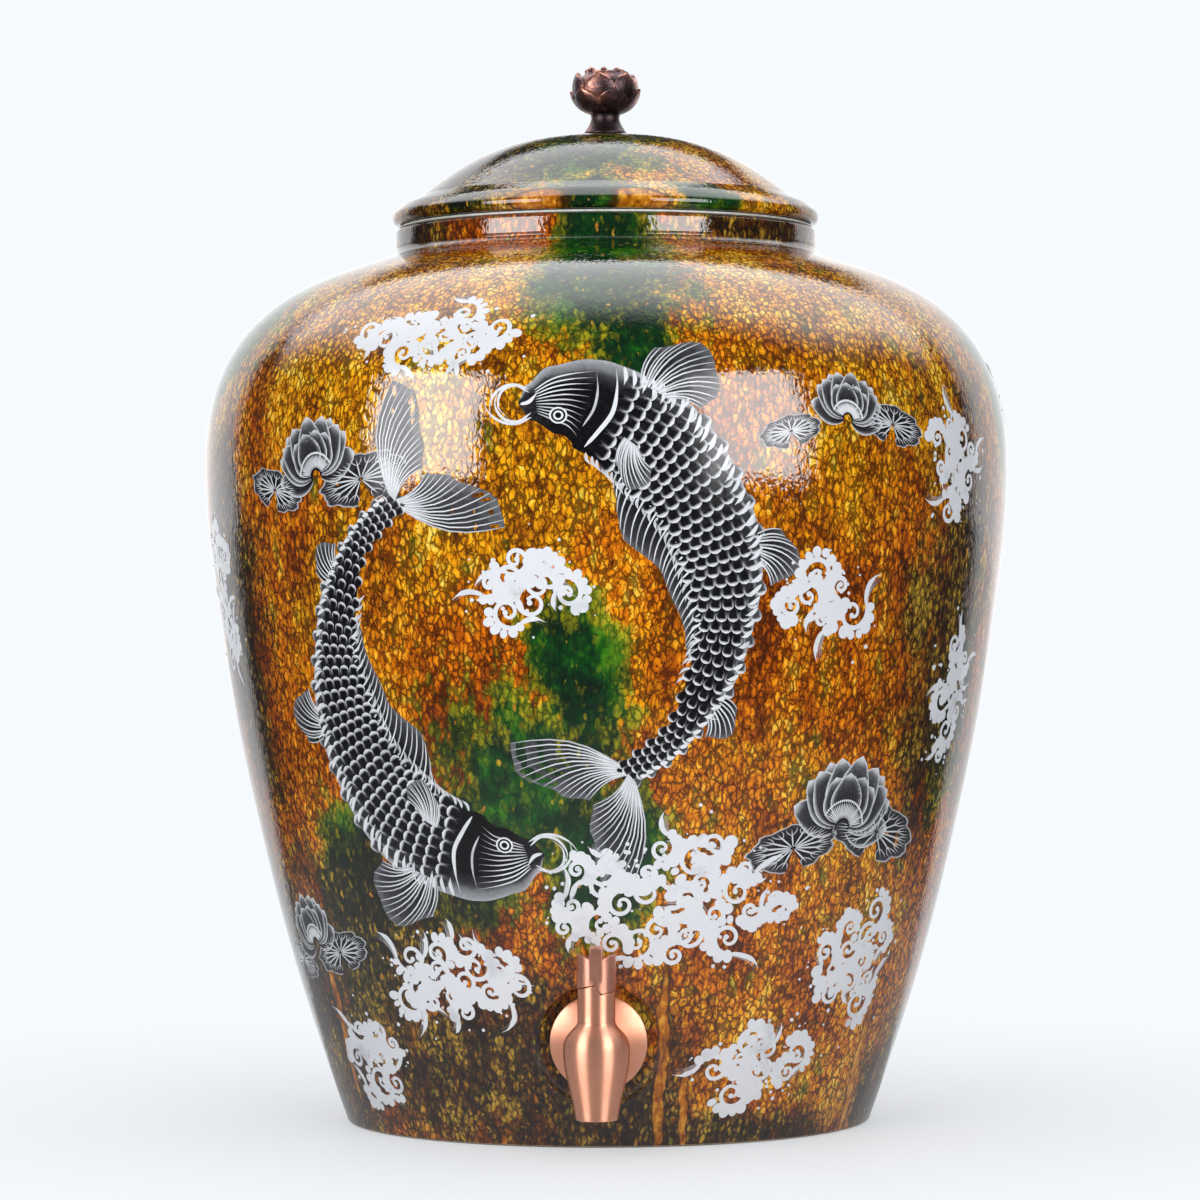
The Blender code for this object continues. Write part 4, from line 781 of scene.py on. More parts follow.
class Transfer:
    """One print laid on the wall round a centre; points are millimetres across and up."""

    def __init__(self, turn, height, tilt=0.0, size=1.0):
        self.bm = bmesh.new()
        self.tone = self.bm.verts.layers.float.new("tone")
        self.centre(turn, height, tilt, size)

    def centre(self, turn, height, tilt=0.0, size=1.0):
        """Start again round another centre."""
        self.turn = math.radians(turn)
        self.along = next(row[0] for row in wall if row[2] >= height)
        self.cos = math.cos(math.radians(tilt)) * size
        self.sin = math.sin(math.radians(tilt)) * size

    def placed(self, point):
        """Angle round the jar and distance along the wall."""
        along = self.along + self.sin * point.x + self.cos * point.y
        return self.turn + (self.cos * point.x - self.sin * point.y) / wall_at(along)[0], along

    def fits(self, point):
        """Whether a point is on the wall and clear of the tap's seat."""
        turn, along = self.placed(point)
        radius, height = wall_at(along)[:2]
        away = math.hypot(radius * math.sin(turn), height - TAP_HEIGHT)
        near_tap = away < TAP_CLEARANCE and math.cos(turn) > 0
        return PRINT_LOW < along < wall_marks[-1] - PRINT_TOP_MARGIN and not near_tap

    def vertex(self, point, lift, tone):
        """A vertex of the print."""
        turn, along = self.placed(point)
        radius, height, out, up = wall_at(along)
        reach = (radius + lift * out) * MM
        made = self.bm.verts.new((reach * math.sin(turn), -reach * math.cos(turn),
                                  (height + lift * up) * MM))
        made[self.tone] = tone
        return made

    def skin(self, grid, tone, lift):
        """A closed thin sheet on a grid of points; tone takes the shares along and across."""
        if not all(self.fits(point) for row in grid for point in row):
            return
        last, wide = len(grid) - 1, len(grid[0]) - 1
        layers = []
        for top in (True, False):
            rows = []
            for i, row in enumerate(grid):
                rise = lift[0] + (lift[1] - lift[0]) * i / last if top else UNDER_FACE
                rows.append([self.vertex(point, rise, tone(i / last, 2 * j / wide - 1))
                             for j, point in enumerate(row)])
            layers.append(rows)
        close_sheet(self.bm, *layers)

    def ribbon(self, line, widths, tone, lift, across=1):
        """A band along a line, with its half width at each point."""
        last = len(line) - 1
        grid = []
        for index, (point, width) in enumerate(zip(line, widths)):
            ahead = line[min(index + 1, last)] - line[max(index - 1, 0)]
            side = Vector((-ahead.y, ahead.x)).normalized() * width
            grid.append([point + side * (2 * step / across - 1) for step in range(across + 1)])
        self.skin(grid, tone, lift)

    def stroke(self, points, width, tone, lift, steps):
        """A brush stroke: it swells and runs out to a point."""
        line = curve_through(points, steps)
        last = len(line) - 1
        widths = []
        for share in (i / last for i in range(last + 1)):
            swell = math.sin(math.pi * min(0.12 + share, 1.0) * 0.9)
            swell = STROKE_START + (1 - STROKE_START) * swell
            widths.append(width * swell * min(1.0, 2.6 * (1 - share)) * min(1.0, 0.3 + 8 * share))
        self.ribbon(line, widths, lambda t, s: tone, (lift, lift))

    def dot(self, middle, radius, tone, lift, wide=1.0, turn=0.0):
        """A round or oval dot."""
        ahead = heading(turn)
        turns = [math.pi * step / 8 for step in range(9)]
        line = [middle - ahead * radius * math.cos(a) for a in turns]
        widths = [radius * wide * math.sin(a) for a in turns]
        self.ribbon(line, widths, lambda t, s: tone, (lift, lift), 2)

    def leaf(self, root, angle, length, width, tone, lift, across, shape):
        """A pointed sheet from its root, such as a scale or a petal."""
        ahead = heading(angle) * length
        line = [root + ahead * mark for mark, share in shape]
        marks = [mark for mark, share in shape]
        self.ribbon(line, [width * share for mark, share in shape],
                    lambda t, s: tone(marks[round(t * (len(marks) - 1))], s), lift, across)

    def fin(self, base, tips, sweep, lift):
        """A webbed fin: a shaded membrane with a fine pale ray to each tip."""
        grid = []
        for root, tip in zip(base, tips):
            side = Vector((-(tip - root).y, (tip - root).x)) * sweep
            grid.append([root.lerp(tip, u / 6) + side * math.sin(math.pi * u / 6)
                         for u in range(7)])
        self.skin(grid, lambda t, s: FIN_PALE * ((s + 1) / 2) ** 1.6, (lift, lift))
        for number, row in enumerate(grid):
            widths = [0.34, 0.32, 0.30, 0.27, 0.24, 0.20, 0.06]
            tone = 0.98 if number % 2 else 0.80
            self.ribbon(row, widths, lambda t, s: tone, (lift + 0.03, lift + 0.03))


CARP_GIRTH = [(0, 0.0), (0.025, 0.34), (0.09, 0.66), (0.19, 0.92), (0.32, 1.0), (0.50, 0.84),
              (0.70, 0.50), (0.86, 0.27), (1.0, 0.22)]
SCALE_SHAPE = ((0, 0.50), (0.35, 0.95), (0.68, 0.97), (0.80, 0.86), (0.92, 0.58), (1.0, 0.0))
SCALE_ROWS = 38
BELLY_MARKS = 46
BACK_MARKS = 34
# Where a fin starts and ends on the body, its side, its angles, its reach, rays, sweep and lift
CARP_FINS = [
    (0.30, 0.72, -0.93, -62, -30, [(0, 0.30), (0.16, 0.92), (0.5, 0.62), (0.85, 0.44), (1, 0.2)],
     26, -0.08, 0.04),
    (0.245, 0.29, 0.80, 96, 20, [(0, 0.8), (0.35, 1.42), (0.7, 1.2), (1, 0.7)], 17, 0.10, 0.085),
    (0.27, 0.30, -0.30, -78, -18, [(0, 0.5), (0.4, 0.92), (0.75, 0.8), (1, 0.5)], 13, -0.10, 0.11),
    (0.52, 0.56, 0.94, 82, 18, [(0, 0.5), (0.4, 0.92), (1, 0.5)], 12, 0.10, 0.085),
    (0.76, 0.80, 0.90, 74, 22, [(0, 0.36), (0.4, 0.64), (1, 0.36)], 9, 0.10, 0.085),
]
TAIL_RAYS = 15
TAIL_LOBE = [(0, 0.9), (0.35, 1.35), (0.75, 2.1), (1, 2.2)]
# Radius, tone and lift of the eye's rings
CARP_EYE = ((0.175, 0.98, 0.115), (0.140, 0.0, 0.123), (0.100, 0.95, 0.131), (0.060, 0.0, 0.139))


def draw_carp(sheet, spine_points, girth):
    """A carp along its spine: body, scales, head and fins. Side +1 is its belly."""
    spine = curve_through(spine_points, 16)
    last = len(spine) - 1

    def on_body(t, s):
        """Place, direction to the tail and half girth at a share of the length and of the girth."""
        index = min(int(t * last), last - 1)
        ahead = (spine[index + 1] - spine[index]).normalized()
        half = girth * graph(CARP_GIRTH, t)
        point = spine[index].lerp(spine[index + 1], t * last - index)
        return point + Vector((-ahead.y, ahead.x)) * s * half, math.atan2(ahead.y, ahead.x), half

    body = [[on_body(i / 90, j / 5 - 1)[0] for j in range(11)] for i in range(91)]
    sheet.skin(body, lambda t, s: 0.70 * ease(0.40, 1.0, s) + 0.10 * ease(0.10, 0.0, t),
               (0.05, 0.05))
    for row in range(SCALE_ROWS):
        t = 0.225 + 0.765 * (row / SCALE_ROWS) ** 0.94
        half = on_body(t, 0)[2]
        count = max(3, round(half / 2.5))
        for place in range(count + row % 2):
            s = (place + 0.5 * (1 - row % 2) - count / 2) / (count / 2) * 0.90
            point, angle, half = on_body(t, s)
            size = 2.3 + 2.3 * half / girth
            shade = 0.34 * ease(0.4, 1.0, s)

            def scale_tone(mark, side, shade=shade):
                sides = ease(0.7, 1.0, abs(side)) * ease(0.2, 0.5, mark) * 0.9
                return shade + (0.96 - shade) * max(ease(0.70, 0.84, mark), sides)

            sheet.leaf(point, angle + 0.25 * s, size * 1.45, size * 0.62, scale_tone,
                       (0.055, 0.095), 4, SCALE_SHAPE)
    for place in range(BELLY_MARKS):
        t = 0.21 + 0.76 * place / BELLY_MARKS
        point, angle, half = on_body(t, 1.0)
        inner = on_body(t + 0.012, 0.62)[0]
        middle = point.lerp(inner, 0.5) + heading(angle) * 0.8
        sheet.stroke([point, middle, inner], 0.8, 0.97, 0.10, 3)
        if place < BACK_MARKS:
            point, angle, half = on_body(t, -0.97)
            middle, tip = point + heading(angle - 1.05) * 2.6, point + heading(angle - 0.7) * 5.4
            sheet.stroke([point, middle, tip], 0.6, 0.85, 0.06, 3)

    for t_start, t_end, s, angle_start, angle_end, reach, rays, sweep, lift in CARP_FINS:
        base, tips = [], []
        for ray in range(rays):
            share = ray / (rays - 1)
            root, angle, half = on_body(t_start + (t_end - t_start) * share, s)
            turn = angle + math.radians(angle_start + (angle_end - angle_start) * share)
            base.append(root)
            tips.append(root + heading(turn) * graph(reach, share) * girth)
        sheet.fin(base, tips, sweep, lift)

    for side in (-1, 1):
        base, tips = [], []
        for ray in range(TAIL_RAYS):
            share = ray / (TAIL_RAYS - 1)
            root, angle, half = on_body(0.985, side * 0.95 * share)
            turn = angle + side * math.radians(4 + 46 * share)
            base.append(root)
            tips.append(root + heading(turn) * graph(TAIL_LOBE, share) * girth)
        sheet.fin(base, tips, 0.12 * side, 0.045 + 0.01 * side)

    gill = [on_body(0.225 - 0.03 * abs(s) ** 1.5, s)[0] for s in (-0.88, -0.5, 0, 0.5, 0.92)]
    sheet.stroke(gill, 0.85, 0.96, 0.12, 8)
    gill = [on_body(0.188 - 0.03 * abs(s) ** 1.5, s)[0] for s in (-0.5, -0.1, 0.3, 0.72)]
    sheet.stroke(gill, 0.5, 0.8, 0.12, 6)
    for number in range(11):
        s = -0.86 + 0.17 * number
        curve = [on_body(t, s * (0.55 + 1.9 * t))[0] for t in (0.045, 0.09, 0.13, 0.172)]
        sheet.stroke(curve, 0.28, 0.80 + 0.18 * ease(-0.4, 0.9, s), 0.10, 4)
    eye, angle, half = on_body(0.098, -0.46)
    for radius, tone, lift in CARP_EYE:
        sheet.dot(eye, radius * girth, tone, lift, 0.92, angle)
    mouth = [on_body(t, s)[0] for t, s in ((0.006, -0.6), (0.030, 0.05), (0.056, 0.42))]
    sheet.stroke(mouth, 0.7, 0.95, 0.125, 6)
    for s, bend in ((0.75, 1.0), (0.55, 1.5), (-0.85, -0.8), (-0.6, -1.3)):
        root, angle, half = on_body(0.03, s)
        steps = [root]
        for number in range(1, 5):
            turn = angle + math.pi - bend + 0.62 * bend * number
            steps.append(steps[-1] + heading(turn) * 0.30 * girth)
        sheet.stroke(steps, 0.55, 0.92, 0.07, 6)


CURL_STEPS = 26


def draw_scrolls(sheet, wide, high, count, seed):
    """A bank of cloud scrolls: curls with a lobed rim, long tails, fine lines and loose dots."""
    draw = random.Random(seed)
    for number in range(count):
        angle = 2.4 * number + draw.uniform(-0.3, 0.3)
        reach = math.sqrt((number + 0.4) / count)
        centre = Vector((wide * reach * math.cos(angle), high * reach * math.sin(angle)))
        spin = draw.choice((-1, 1))
        radius = draw.uniform(4.4, 8.2)
        start = draw.uniform(0, FULL_TURN)
        lift = 0.05 + 0.09 * (number % 12) / 12
        curl = [centre + heading(start + spin * 8.6 * i / CURL_STEPS) * radius
                * (1 - 0.86 * i / CURL_STEPS) for i in range(CURL_STEPS + 1)]
        widths = [(1.20 - 0.60 * i / CURL_STEPS) * min(1, 0.4 + i / 5)
                  for i in range(CURL_STEPS + 1)]
        sheet.ribbon(curl, widths, lambda t, s: 0.97, (lift, lift))
        sheet.dot(curl[-1], 1.20, 0.97, lift)
        for lobe in range(draw.randint(5, 8)):
            turn = start + spin * (0.1 + 0.46 * lobe)
            spot = centre + heading(turn) * (radius + draw.uniform(0.9, 2.2))
            sheet.dot(spot, draw.uniform(1.9, 3.3), 0.97, lift + 0.003 * (lobe % 3),
                      draw.uniform(0.7, 1.0), turn)
        turn = start - spin * math.pi / 2
        tail = [curl[0]]
        for _ in range(draw.randint(3, 5)):
            turn += spin * draw.uniform(0.12, 0.46)
            tail.append(tail[-1] + heading(turn) * draw.uniform(2.4, 4.4))
        sheet.stroke(tail, 1.15, 0.95, lift, 5)
        for line in range(draw.randint(1, 3)):
            shift = heading(turn + math.pi / 2) * (1.2 + 0.9 * line) * spin
            sheet.stroke([point + shift for point in tail], 0.20, 0.70, 0.05, 4)
        for _ in range(draw.randint(3, 6)):
            spot = centre + (heading(draw.uniform(0, FULL_TURN))
                             * draw.uniform(radius * 1.3, radius * 3.0))
            sheet.dot(spot, draw.uniform(0.3, 1.0), 0.96, 0.06 + 0.08 * draw.random())


# Leans of the petals in degrees, their length, half width and lift: back, middle and front
LOTUS_RINGS = [([-82, -58, -34, 34, 58, 82], 1.0, 0.30, 0.05),
               ([-46, -22, 0, 22, 46], 0.98, 0.32, 0.07),
               ([-30, -10, 12, 32], 0.72, 0.30, 0.09)]
PETAL_SHAPE = [(t / 12, math.sin(math.pi * min(0.10 + 0.86 * (t / 12) ** 0.85, 1.0)) ** 0.9
                * (t < 12)) for t in range(13)]
STAMENS = 26


def draw_lotus(sheet, reach):
    """An open lotus seen from the side: back, middle and front petals, each shaded and veined."""
    for angles, length, width, lift in LOTUS_RINGS:
        for number, lean in enumerate(sorted(angles, key=lambda lean: -abs(lean))):
            angle = math.radians(90 - lean)
            step = lift + 0.003 * number
            length_here = reach * length * (1 - 0.12 * abs(lean) / 90)
            root = heading(angle) * reach * 0.10
            shade = 0.02 + 0.015 * number

            def petal_tone(mark, side, shade=shade):
                rim = max(ease(0.80, 0.99, mark), ease(0.70, 1.0, abs(side)))
                return shade + 0.34 * mark * (1 - rim) + (0.98 - shade) * rim

            sheet.leaf(root, angle, length_here, reach * width, petal_tone, (step, step), 8,
                       PETAL_SHAPE)
            across = heading(angle + math.pi / 2)
            for vein in range(-3, 4):
                base = root + across * vein * reach * 0.022
                tip = root + heading(angle) * length_here * 0.84 + across * vein * reach * 0.012
                middle = base.lerp(tip, 0.5) + across * vein * reach * 0.042
                sheet.stroke([base, middle, tip], 0.20, 0.02, step + 0.0015, 5)
    for stamen in range(STAMENS):
        angle = math.radians(20 + 140 * (stamen / (STAMENS - 1)))
        root = heading(angle) * reach * 0.14
        middle = root + heading(angle) * reach * 0.16
        sheet.stroke([root, middle, root + heading(angle * 1.02) * reach * 0.24], 0.26,
                     0.95, 0.118, 3)
        sheet.dot(root + heading(angle * 1.02) * reach * 0.26, 0.55, 0.97, 0.12)


def draw_lily_leaf(sheet, wide, high):
    """A floating leaf: dark, pale at its waved rim, with forked veins from its middle."""
    grid = []
    for step in range(49):
        angle = math.radians(-78 + 336 * step / 48)
        rim = 1 + 0.05 * math.sin(9 * angle) + 0.03 * math.sin(17 * angle + 1)
        grid.append([Vector((wide * rim * r * math.cos(angle), high * rim * r * math.sin(angle)))
                     for r in (0.02, 0.4, 0.8, 0.93, 1.0)])
    sheet.skin(grid, lambda t, s: (0.0, 0.04, 0.16, 0.24, 0.95)[round((s + 1) * 2)], (0.045, 0.045))
    for step in range(15):
        angle = math.radians(-70 + 320 * step / 14)
        tip = Vector((wide * math.cos(angle), high * math.sin(angle)))
        sheet.stroke([tip * 0.06, tip * 0.5, tip * 0.90], 0.36, 0.88, 0.06, 4)
        for fork in (-0.14, 0.14):
            tip_two = Vector((wide * math.cos(angle + fork), high * math.sin(angle + fork)))
            sheet.stroke([tip * 0.55, tip_two * 0.74, tip_two * 0.92], 0.22, 0.8, 0.062, 3)


def make_print():
    """Fired transfer colour: black to silver by the mark on the mesh, with a little wear."""
    material, tree, shader, place = finish_of("silver_black_print", Roughness=0.16, IOR=1.45)
    tone = add(tree, "Attribute", attribute_name="tone").outputs["Fac"]
    wear = grain(tree, place, 520.0, 4.0, 0.6)
    cloudy = grain(tree, place, 40.0, 3.0, 0.6)
    tone = calc(tree, "ADD", tone, calc(tree, "MULTIPLY_ADD", wear, 0.22, -0.11))
    colour = ramp(tree, tone, (0.0, srgb(14, 13, 16)), (0.30, srgb(58, 58, 62)),
                  (0.62, srgb(134, 136, 140)), (0.95, srgb(214, 216, 220)))
    colour = blend(tree, soft_step(tree, cloudy, 0.56, 0.70, 0.0, 0.35), colour,
                   srgb(170, 174, 178), "MULTIPLY")
    tree.links.new(colour, shader.inputs["Base Color"])
    tree.links.new(soft_step(tree, wear, 0.3, 0.7, 0.10, 0.22), shader.inputs["Roughness"])
    bumped(tree, shader, wear, 0.00006, 0.4)
    return material


silver_print = make_print()
UPPER_CARP = [(-60, 44), (-34, 44), (-6, 27), (16, -6), (20, -44), (5, -80), (-18, -100)]
LOWER_CARP = [(58, -44), (32, -46), (0, -31), (-22, 2), (-26, 40), (-12, 76), (12, 98)]
CARP_GIRTH_HALF = 20.0
carp_sheet = Transfer(11.0, 272.0, 0.0, 1.12)
draw_carp(carp_sheet, UPPER_CARP, CARP_GIRTH_HALF)
carp_sheet.centre(-31.0, 176.0, 0.0, 1.10)
draw_carp(carp_sheet, LOWER_CARP, CARP_GIRTH_HALF)
piece(carp_sheet.bm, "carp_print", "jar", [silver_print])

# Turn round the jar in degrees, height, tilt and reach
LOTUS_PLACES = [(41.0, 150.0, -12, 30.0), (-41.0, 305.0, 16, 25.0), (36.0, 328.0, -14, 20.0),
                (-60.0, 96.0, 14, 22.0), (150.0, 250.0, 0, 32.0), (-140.0, 180.0, 10, 30.0)]
lotus_sheet = Transfer(0, 200)
for turn, height, tilt, reach in LOTUS_PLACES:
    lotus_sheet.centre(turn + 8, height - 15, tilt)
    draw_lily_leaf(lotus_sheet, reach * 0.95, reach * 0.42)
    lotus_sheet.centre(turn - 9, height - 19, -tilt)
    draw_lily_leaf(lotus_sheet, reach * 0.75, reach * 0.34)
    lotus_sheet.centre(turn, height - 12, tilt)
    draw_lotus(lotus_sheet, reach)
piece(lotus_sheet.bm, "lotus_print", "jar", [silver_print])

# Turn in degrees, height, half width, half height, number of curls and seed
SCROLL_BANKS = [
    (-24, 352, 38, 12, 12, 3), (-9, 244, 22, 13, 8, 5), (33, 236, 20, 13, 7, 8),
    (58, 296, 18, 24, 10, 9), (12, 110, 54, 27, 27, 12), (50, 80, 24, 24, 12, 14),
    (30, 34, 26, 14, 9, 17), (-50, 34, 20, 18, 9, 19), (-26, 74, 32, 18, 14, 21),
    (64, 196, 13, 30, 9, 23), (-72, 240, 14, 34, 10, 25), (92, 340, 24, 15, 9, 27),
    (-98, 310, 24, 15, 9, 29), (120, 110, 26, 24, 11, 31), (-120, 90, 26, 20, 10, 33),
    (180, 318, 32, 14, 11, 35), (176, 140, 24, 24, 10, 37), (-165, 46, 24, 12, 7, 39),
]
FRONT_TURN = 63
for name, in_front in (("cloud_scroll_print", True), ("rear_scroll_print", False)):
    scroll_sheet = Transfer(0, 200)
    for turn, height, wide, high, count, seed in SCROLL_BANKS:
        if (abs(turn) < FRONT_TURN) == in_front:
            scroll_sheet.centre(turn, height)
            draw_scrolls(scroll_sheet, wide, high, count, seed)
    piece(scroll_sheet.bm, name, "jar", [silver_print])


# The lid. A stoneware dome with a sloping brim, a rounded band that overhangs the neck and a
# spigot that drops into the mouth. It is dipped in the same glaze, and its spigot is wiped bare.

LID_SEAT = 412.6
LID_RADIUS = 98.8
LID_BAND_TOP = 419.4
LID_BAND_ROUND = 3.2
DOME_KNOTS = [(85.2, 426.3, -53.0), (54.7, 445.7, -66.5), (11.5, 454.0, -90.0)]
LID_WALL = 8.0
KNOB_HOLE = 3.4
SPIGOT_RADIUS = 84.95
SPIGOT_INNER = 77.95
SPIGOT_FOOT = 399.1

LID_GREENS = [
    (-0.006, -0.030, 0.040, 0.066, 0.1, 0.8),
    (-0.002, -0.092, 0.026, 0.014, 0.0, 1.0),
    (0.052, -0.084, 0.020, 0.012, 0.0, 1.2),
    (-0.062, -0.076, 0.016, 0.012, 0.0, 1.2),
    (-0.060, 0.050, 0.034, 0.030, 0.0, 1.2),
    (0.050, 0.040, 0.026, 0.034, 0.0, 1.2),
    (0.000, 0.088, 0.030, 0.014, 0.0, 1.2),
]
LID_BROWNS = [
    (-0.060, -0.040, 0.040, 0.060, 0.0, 0.9),
    (0.000, 0.000, 0.060, 0.060, 0.0, 0.9),
    (0.088, -0.020, 0.014, 0.030, 0.0, 1.4),
]
LID_AMBERS = [(-0.034, -0.0955, 0.020, 0.006, 0.0, 1.0), (0.020, -0.0965, 0.018, 0.005, 0.0, 1.0)]


def lid_flat(tree, place):
    """The lid seen from above."""
    return place


lid_glaze = glazed("lid_amber_green_glaze", lid_flat, LID_GREENS, LID_BROWNS, LID_AMBERS, 0.8, 1.54)


def build_lid():
    """The lid's closed mesh round its screw hole."""
    round_in = LID_RADIUS - LID_BAND_ROUND
    under = [(SPIGOT_RADIUS, LID_SEAT + 0.25), (SPIGOT_RADIUS + 0.4, LID_SEAT)]
    band = arc((round_in, LID_SEAT + LID_BAND_ROUND), LID_BAND_ROUND, -90, 0, 6)
    band += arc((round_in, LID_BAND_TOP - LID_BAND_ROUND), LID_BAND_ROUND, 0, 50, 6)
    brim = [(94.6, 421.5), (91.6, 422.95), (88.6, 424.45), (86.3, 425.65), (85.75, 425.95),
            (85.4, 426.25)]
    dome = knot_line(DOME_KNOTS, 18, WALL_PULL)[1:]
    top = [(8.0, 454.0), (KNOB_HOLE + 0.3, 454.0), (KNOB_HOLE, 453.7), (KNOB_HOLE, 446.3)]
    inside = moved_in(knot_line(DOME_KNOTS, 10, WALL_PULL), LID_WALL)
    inside = [point for point in reversed(inside) if point[0] < SPIGOT_INNER - 1]
    inside = [(KNOB_HOLE + 0.3, 446.0)] + inside
    spigot = [(SPIGOT_INNER, 413.6), (SPIGOT_INNER, 400.6), (78.4, 399.5), (79.5, SPIGOT_FOOT),
              (83.4, SPIGOT_FOOT), (84.5, 399.5), (SPIGOT_RADIUS, 400.6), (SPIGOT_RADIUS, 405.0)]
    rows = [(point, GLAZE_SIDE) for point in under + band + brim + dome + top]
    rows += [(point, LINER_SIDE) for point in inside] + [(point, BARE_SIDE) for point in spigot]
    bm = bmesh.new()
    rings = [ring_of(bm, radius, height, even_angles(128)) for (radius, height), finish in rows]
    for index, (low, high) in enumerate(zip(rings, rings[1:] + rings[:1])):
        bridge(bm, low, high, finish=rows[index][1])
    return bm


piece(build_lid(), "lid_dome", "lid", [lid_glaze, inner_glaze, bare_clay], ["lid"],
      crease=24.0)


# The seal ring. Milky silicone, moulded as a sleeve with two ribs and a thin flange, and
# stretched round the lid's spigot so that it seals on the rim and grips in the mouth.

def make_silicone():
    """Milky silicone: soft, a little see-through, with a bloom of dust."""
    material, tree, shader, place = finish_of("milky_silicone", Roughness=0.42, IOR=1.41,
                                              Subsurface_Weight=0.25, Subsurface_Scale=0.002)
    bloom = grain(tree, place, 300.0, 4.0, 0.6)
    colour = ramp(tree, bloom, (0.35, srgb(206, 203, 194)), (0.65, srgb(228, 226, 219)))
    tree.links.new(colour, shader.inputs["Base Color"])
    tree.links.new(soft_step(tree, bloom, 0.3, 0.7, 0.36, 0.50), shader.inputs["Roughness"])
    bumped(tree, shader, bloom, 0.0002, 0.4)
    return material


silicone = make_silicone()
SEAL_SECTION = [
    (85.55, 404.5), (85.75, 404.2), (86.4, 404.2), (86.6, 404.5), (86.6, 405.6),
    (87.15, 406.35), (86.6, 407.1), (86.6, 408.3), (87.15, 409.05), (86.6, 409.8),
    (86.6, 410.95), (86.8, 411.2), (94.9, 411.2), (95.2, 411.5), (95.2, 412.0), (94.9, 412.3),
    (85.75, 412.3), (85.55, 412.1),
]
piece(turned(SEAL_SECTION, 128), "lid_seal", "lid_seal", [silicone], ["lid_seal_ring"])


# The knob. A lotus bud cast in zinc, plated with copper, blackened and then rubbed bright
# on its edges. Six outer and six inner petals stand round a beaded seed head on a flared stem.

KNOB_BASE = 455.2
PETAL_COUNT = 6
SEED_COUNT = 8
PETAL_ACROSS = 12
PETAL_ALONG = 14


def petal(bm, rubbed, turn, root, belly, tip, width, thickness, curl):
    """One petal as a closed cupped sheet, given (radius, rise) of its root, belly and tip."""
    sides = []
    for layer in (0.0, thickness):
        rows = []
        for along in range(PETAL_ALONG + 1):
            t = along / PETAL_ALONG
            u = 1 - t
            line = u * u * Vector(root) + 2 * u * t * Vector(belly) + t * t * Vector(tip)
            broad = math.sin(math.pi * min(t * 0.55 + 0.22, 1.0)) ** 0.8
            spread = width * broad * (1 - t**6) ** 0.7
            row = []
            for across in range(PETAL_ACROSS + 1):
                s = 2 * across / PETAL_ACROSS - 1
                angle = turn + s * spread / max(line.x, 3.0)
                groove = 0.35 * math.exp(-(s * 5) ** 2) * t * (layer == 0)
                cup = line.x - curl * s * s * t - layer - groove
                lift = line.y - 0.7 * s * s * t
                row.append(bm.verts.new(round_spot(cup, angle, KNOB_BASE + lift)))
                edge = max(abs(s) ** 6, t**8)
                row[-1][rubbed] = min(0.22 + 0.5 * edge + 0.12 * t, 1.0) if layer == 0 else 0.2
            rows.append(row)
        sides.append(rows)
    close_sheet(bm, *sides)


def build_knob():
    """Stem, cup, petals and seed head in one cast mesh."""
    bm = bmesh.new()
    rubbed = bm.verts.layers.float.new("rubbed")
    core = [(2.9, 0.0), (9.6, 0.0), (9.9, 0.25), (9.9, 0.7), (9.4, 1.3), (8.7, 2.4), (7.7, 4.0),
            (6.9, 5.8), (6.5, 7.4), (6.7, 8.8), (7.5, 9.9), (9.4, 11.2), (11.6, 12.9),
            (13.2, 14.9), (14.2, 17.2), (14.4, 19.6), (13.9, 22.4), (12.6, 24.9), (10.8, 26.7),
            (9.6, 27.6), (9.3, 28.3), (8.8, 28.9), (7.6, 29.2), (6.4, 28.8), (5.0, 28.2),
            (2.6, 28.0), (0, 28.1)]
    rings = [ring_of(bm, radius, KNOB_BASE + rise, even_angles(64)) for radius, rise in core]
    bore = [ring_of(bm, radius, KNOB_BASE + rise, even_angles(64))
            for radius, rise in ((2.7, 0.2), (2.7, 11.3), (0, 11.4))]
    for low, high in [*zip(rings, rings[1:]), (rings[0], bore[0]), *zip(bore, bore[1:])]:
        bridge(bm, low, high)
    for (radius, rise), ring in zip(core, rings):
        for vertex in ring:
            vertex[rubbed] = 0.75 if rise > 28.8 else 0.35 if rise > 10 else 0.10
    for number in range(PETAL_COUNT):
        turn = FULL_TURN * (number + 0.30) / PETAL_COUNT
        petal(bm, rubbed, turn, (7.4, 9.5), (15.2, 11.6), (17.0, 20.7), 9.0, 1.3, 0.9)
        turn = FULL_TURN * (number - 0.20) / PETAL_COUNT
        petal(bm, rubbed, turn, (12.4, 13.4), (17.6, 20.0), (13.9, 28.2), 8.6, 1.2, 0.8)
    draw = random.Random(7)
    for number in range(SEED_COUNT + 3):
        turn = FULL_TURN * (number + draw.uniform(-0.18, 0.18)) / SEED_COUNT
        reach = draw.uniform(7.4, 8.3) if number < SEED_COUNT else draw.uniform(1.8, 3.4)
        rise = draw.uniform(28.9, 29.5) if number < SEED_COUNT else 28.4
        size = draw.uniform(1.5, 2.2) if number < SEED_COUNT else draw.uniform(1.5, 2.0)
        made = bmesh.ops.create_icosphere(bm, subdivisions=2, radius=size * MM)["verts"]
        middle = Vector(round_spot(reach, turn, KNOB_BASE + rise))
        for vertex in made:
            vertex.co = Vector((vertex.co.x, vertex.co.y, vertex.co.z * 0.85)) + middle
            vertex[rubbed] = 0.7 if vertex.co.z > middle.z else 0.3
    return bm


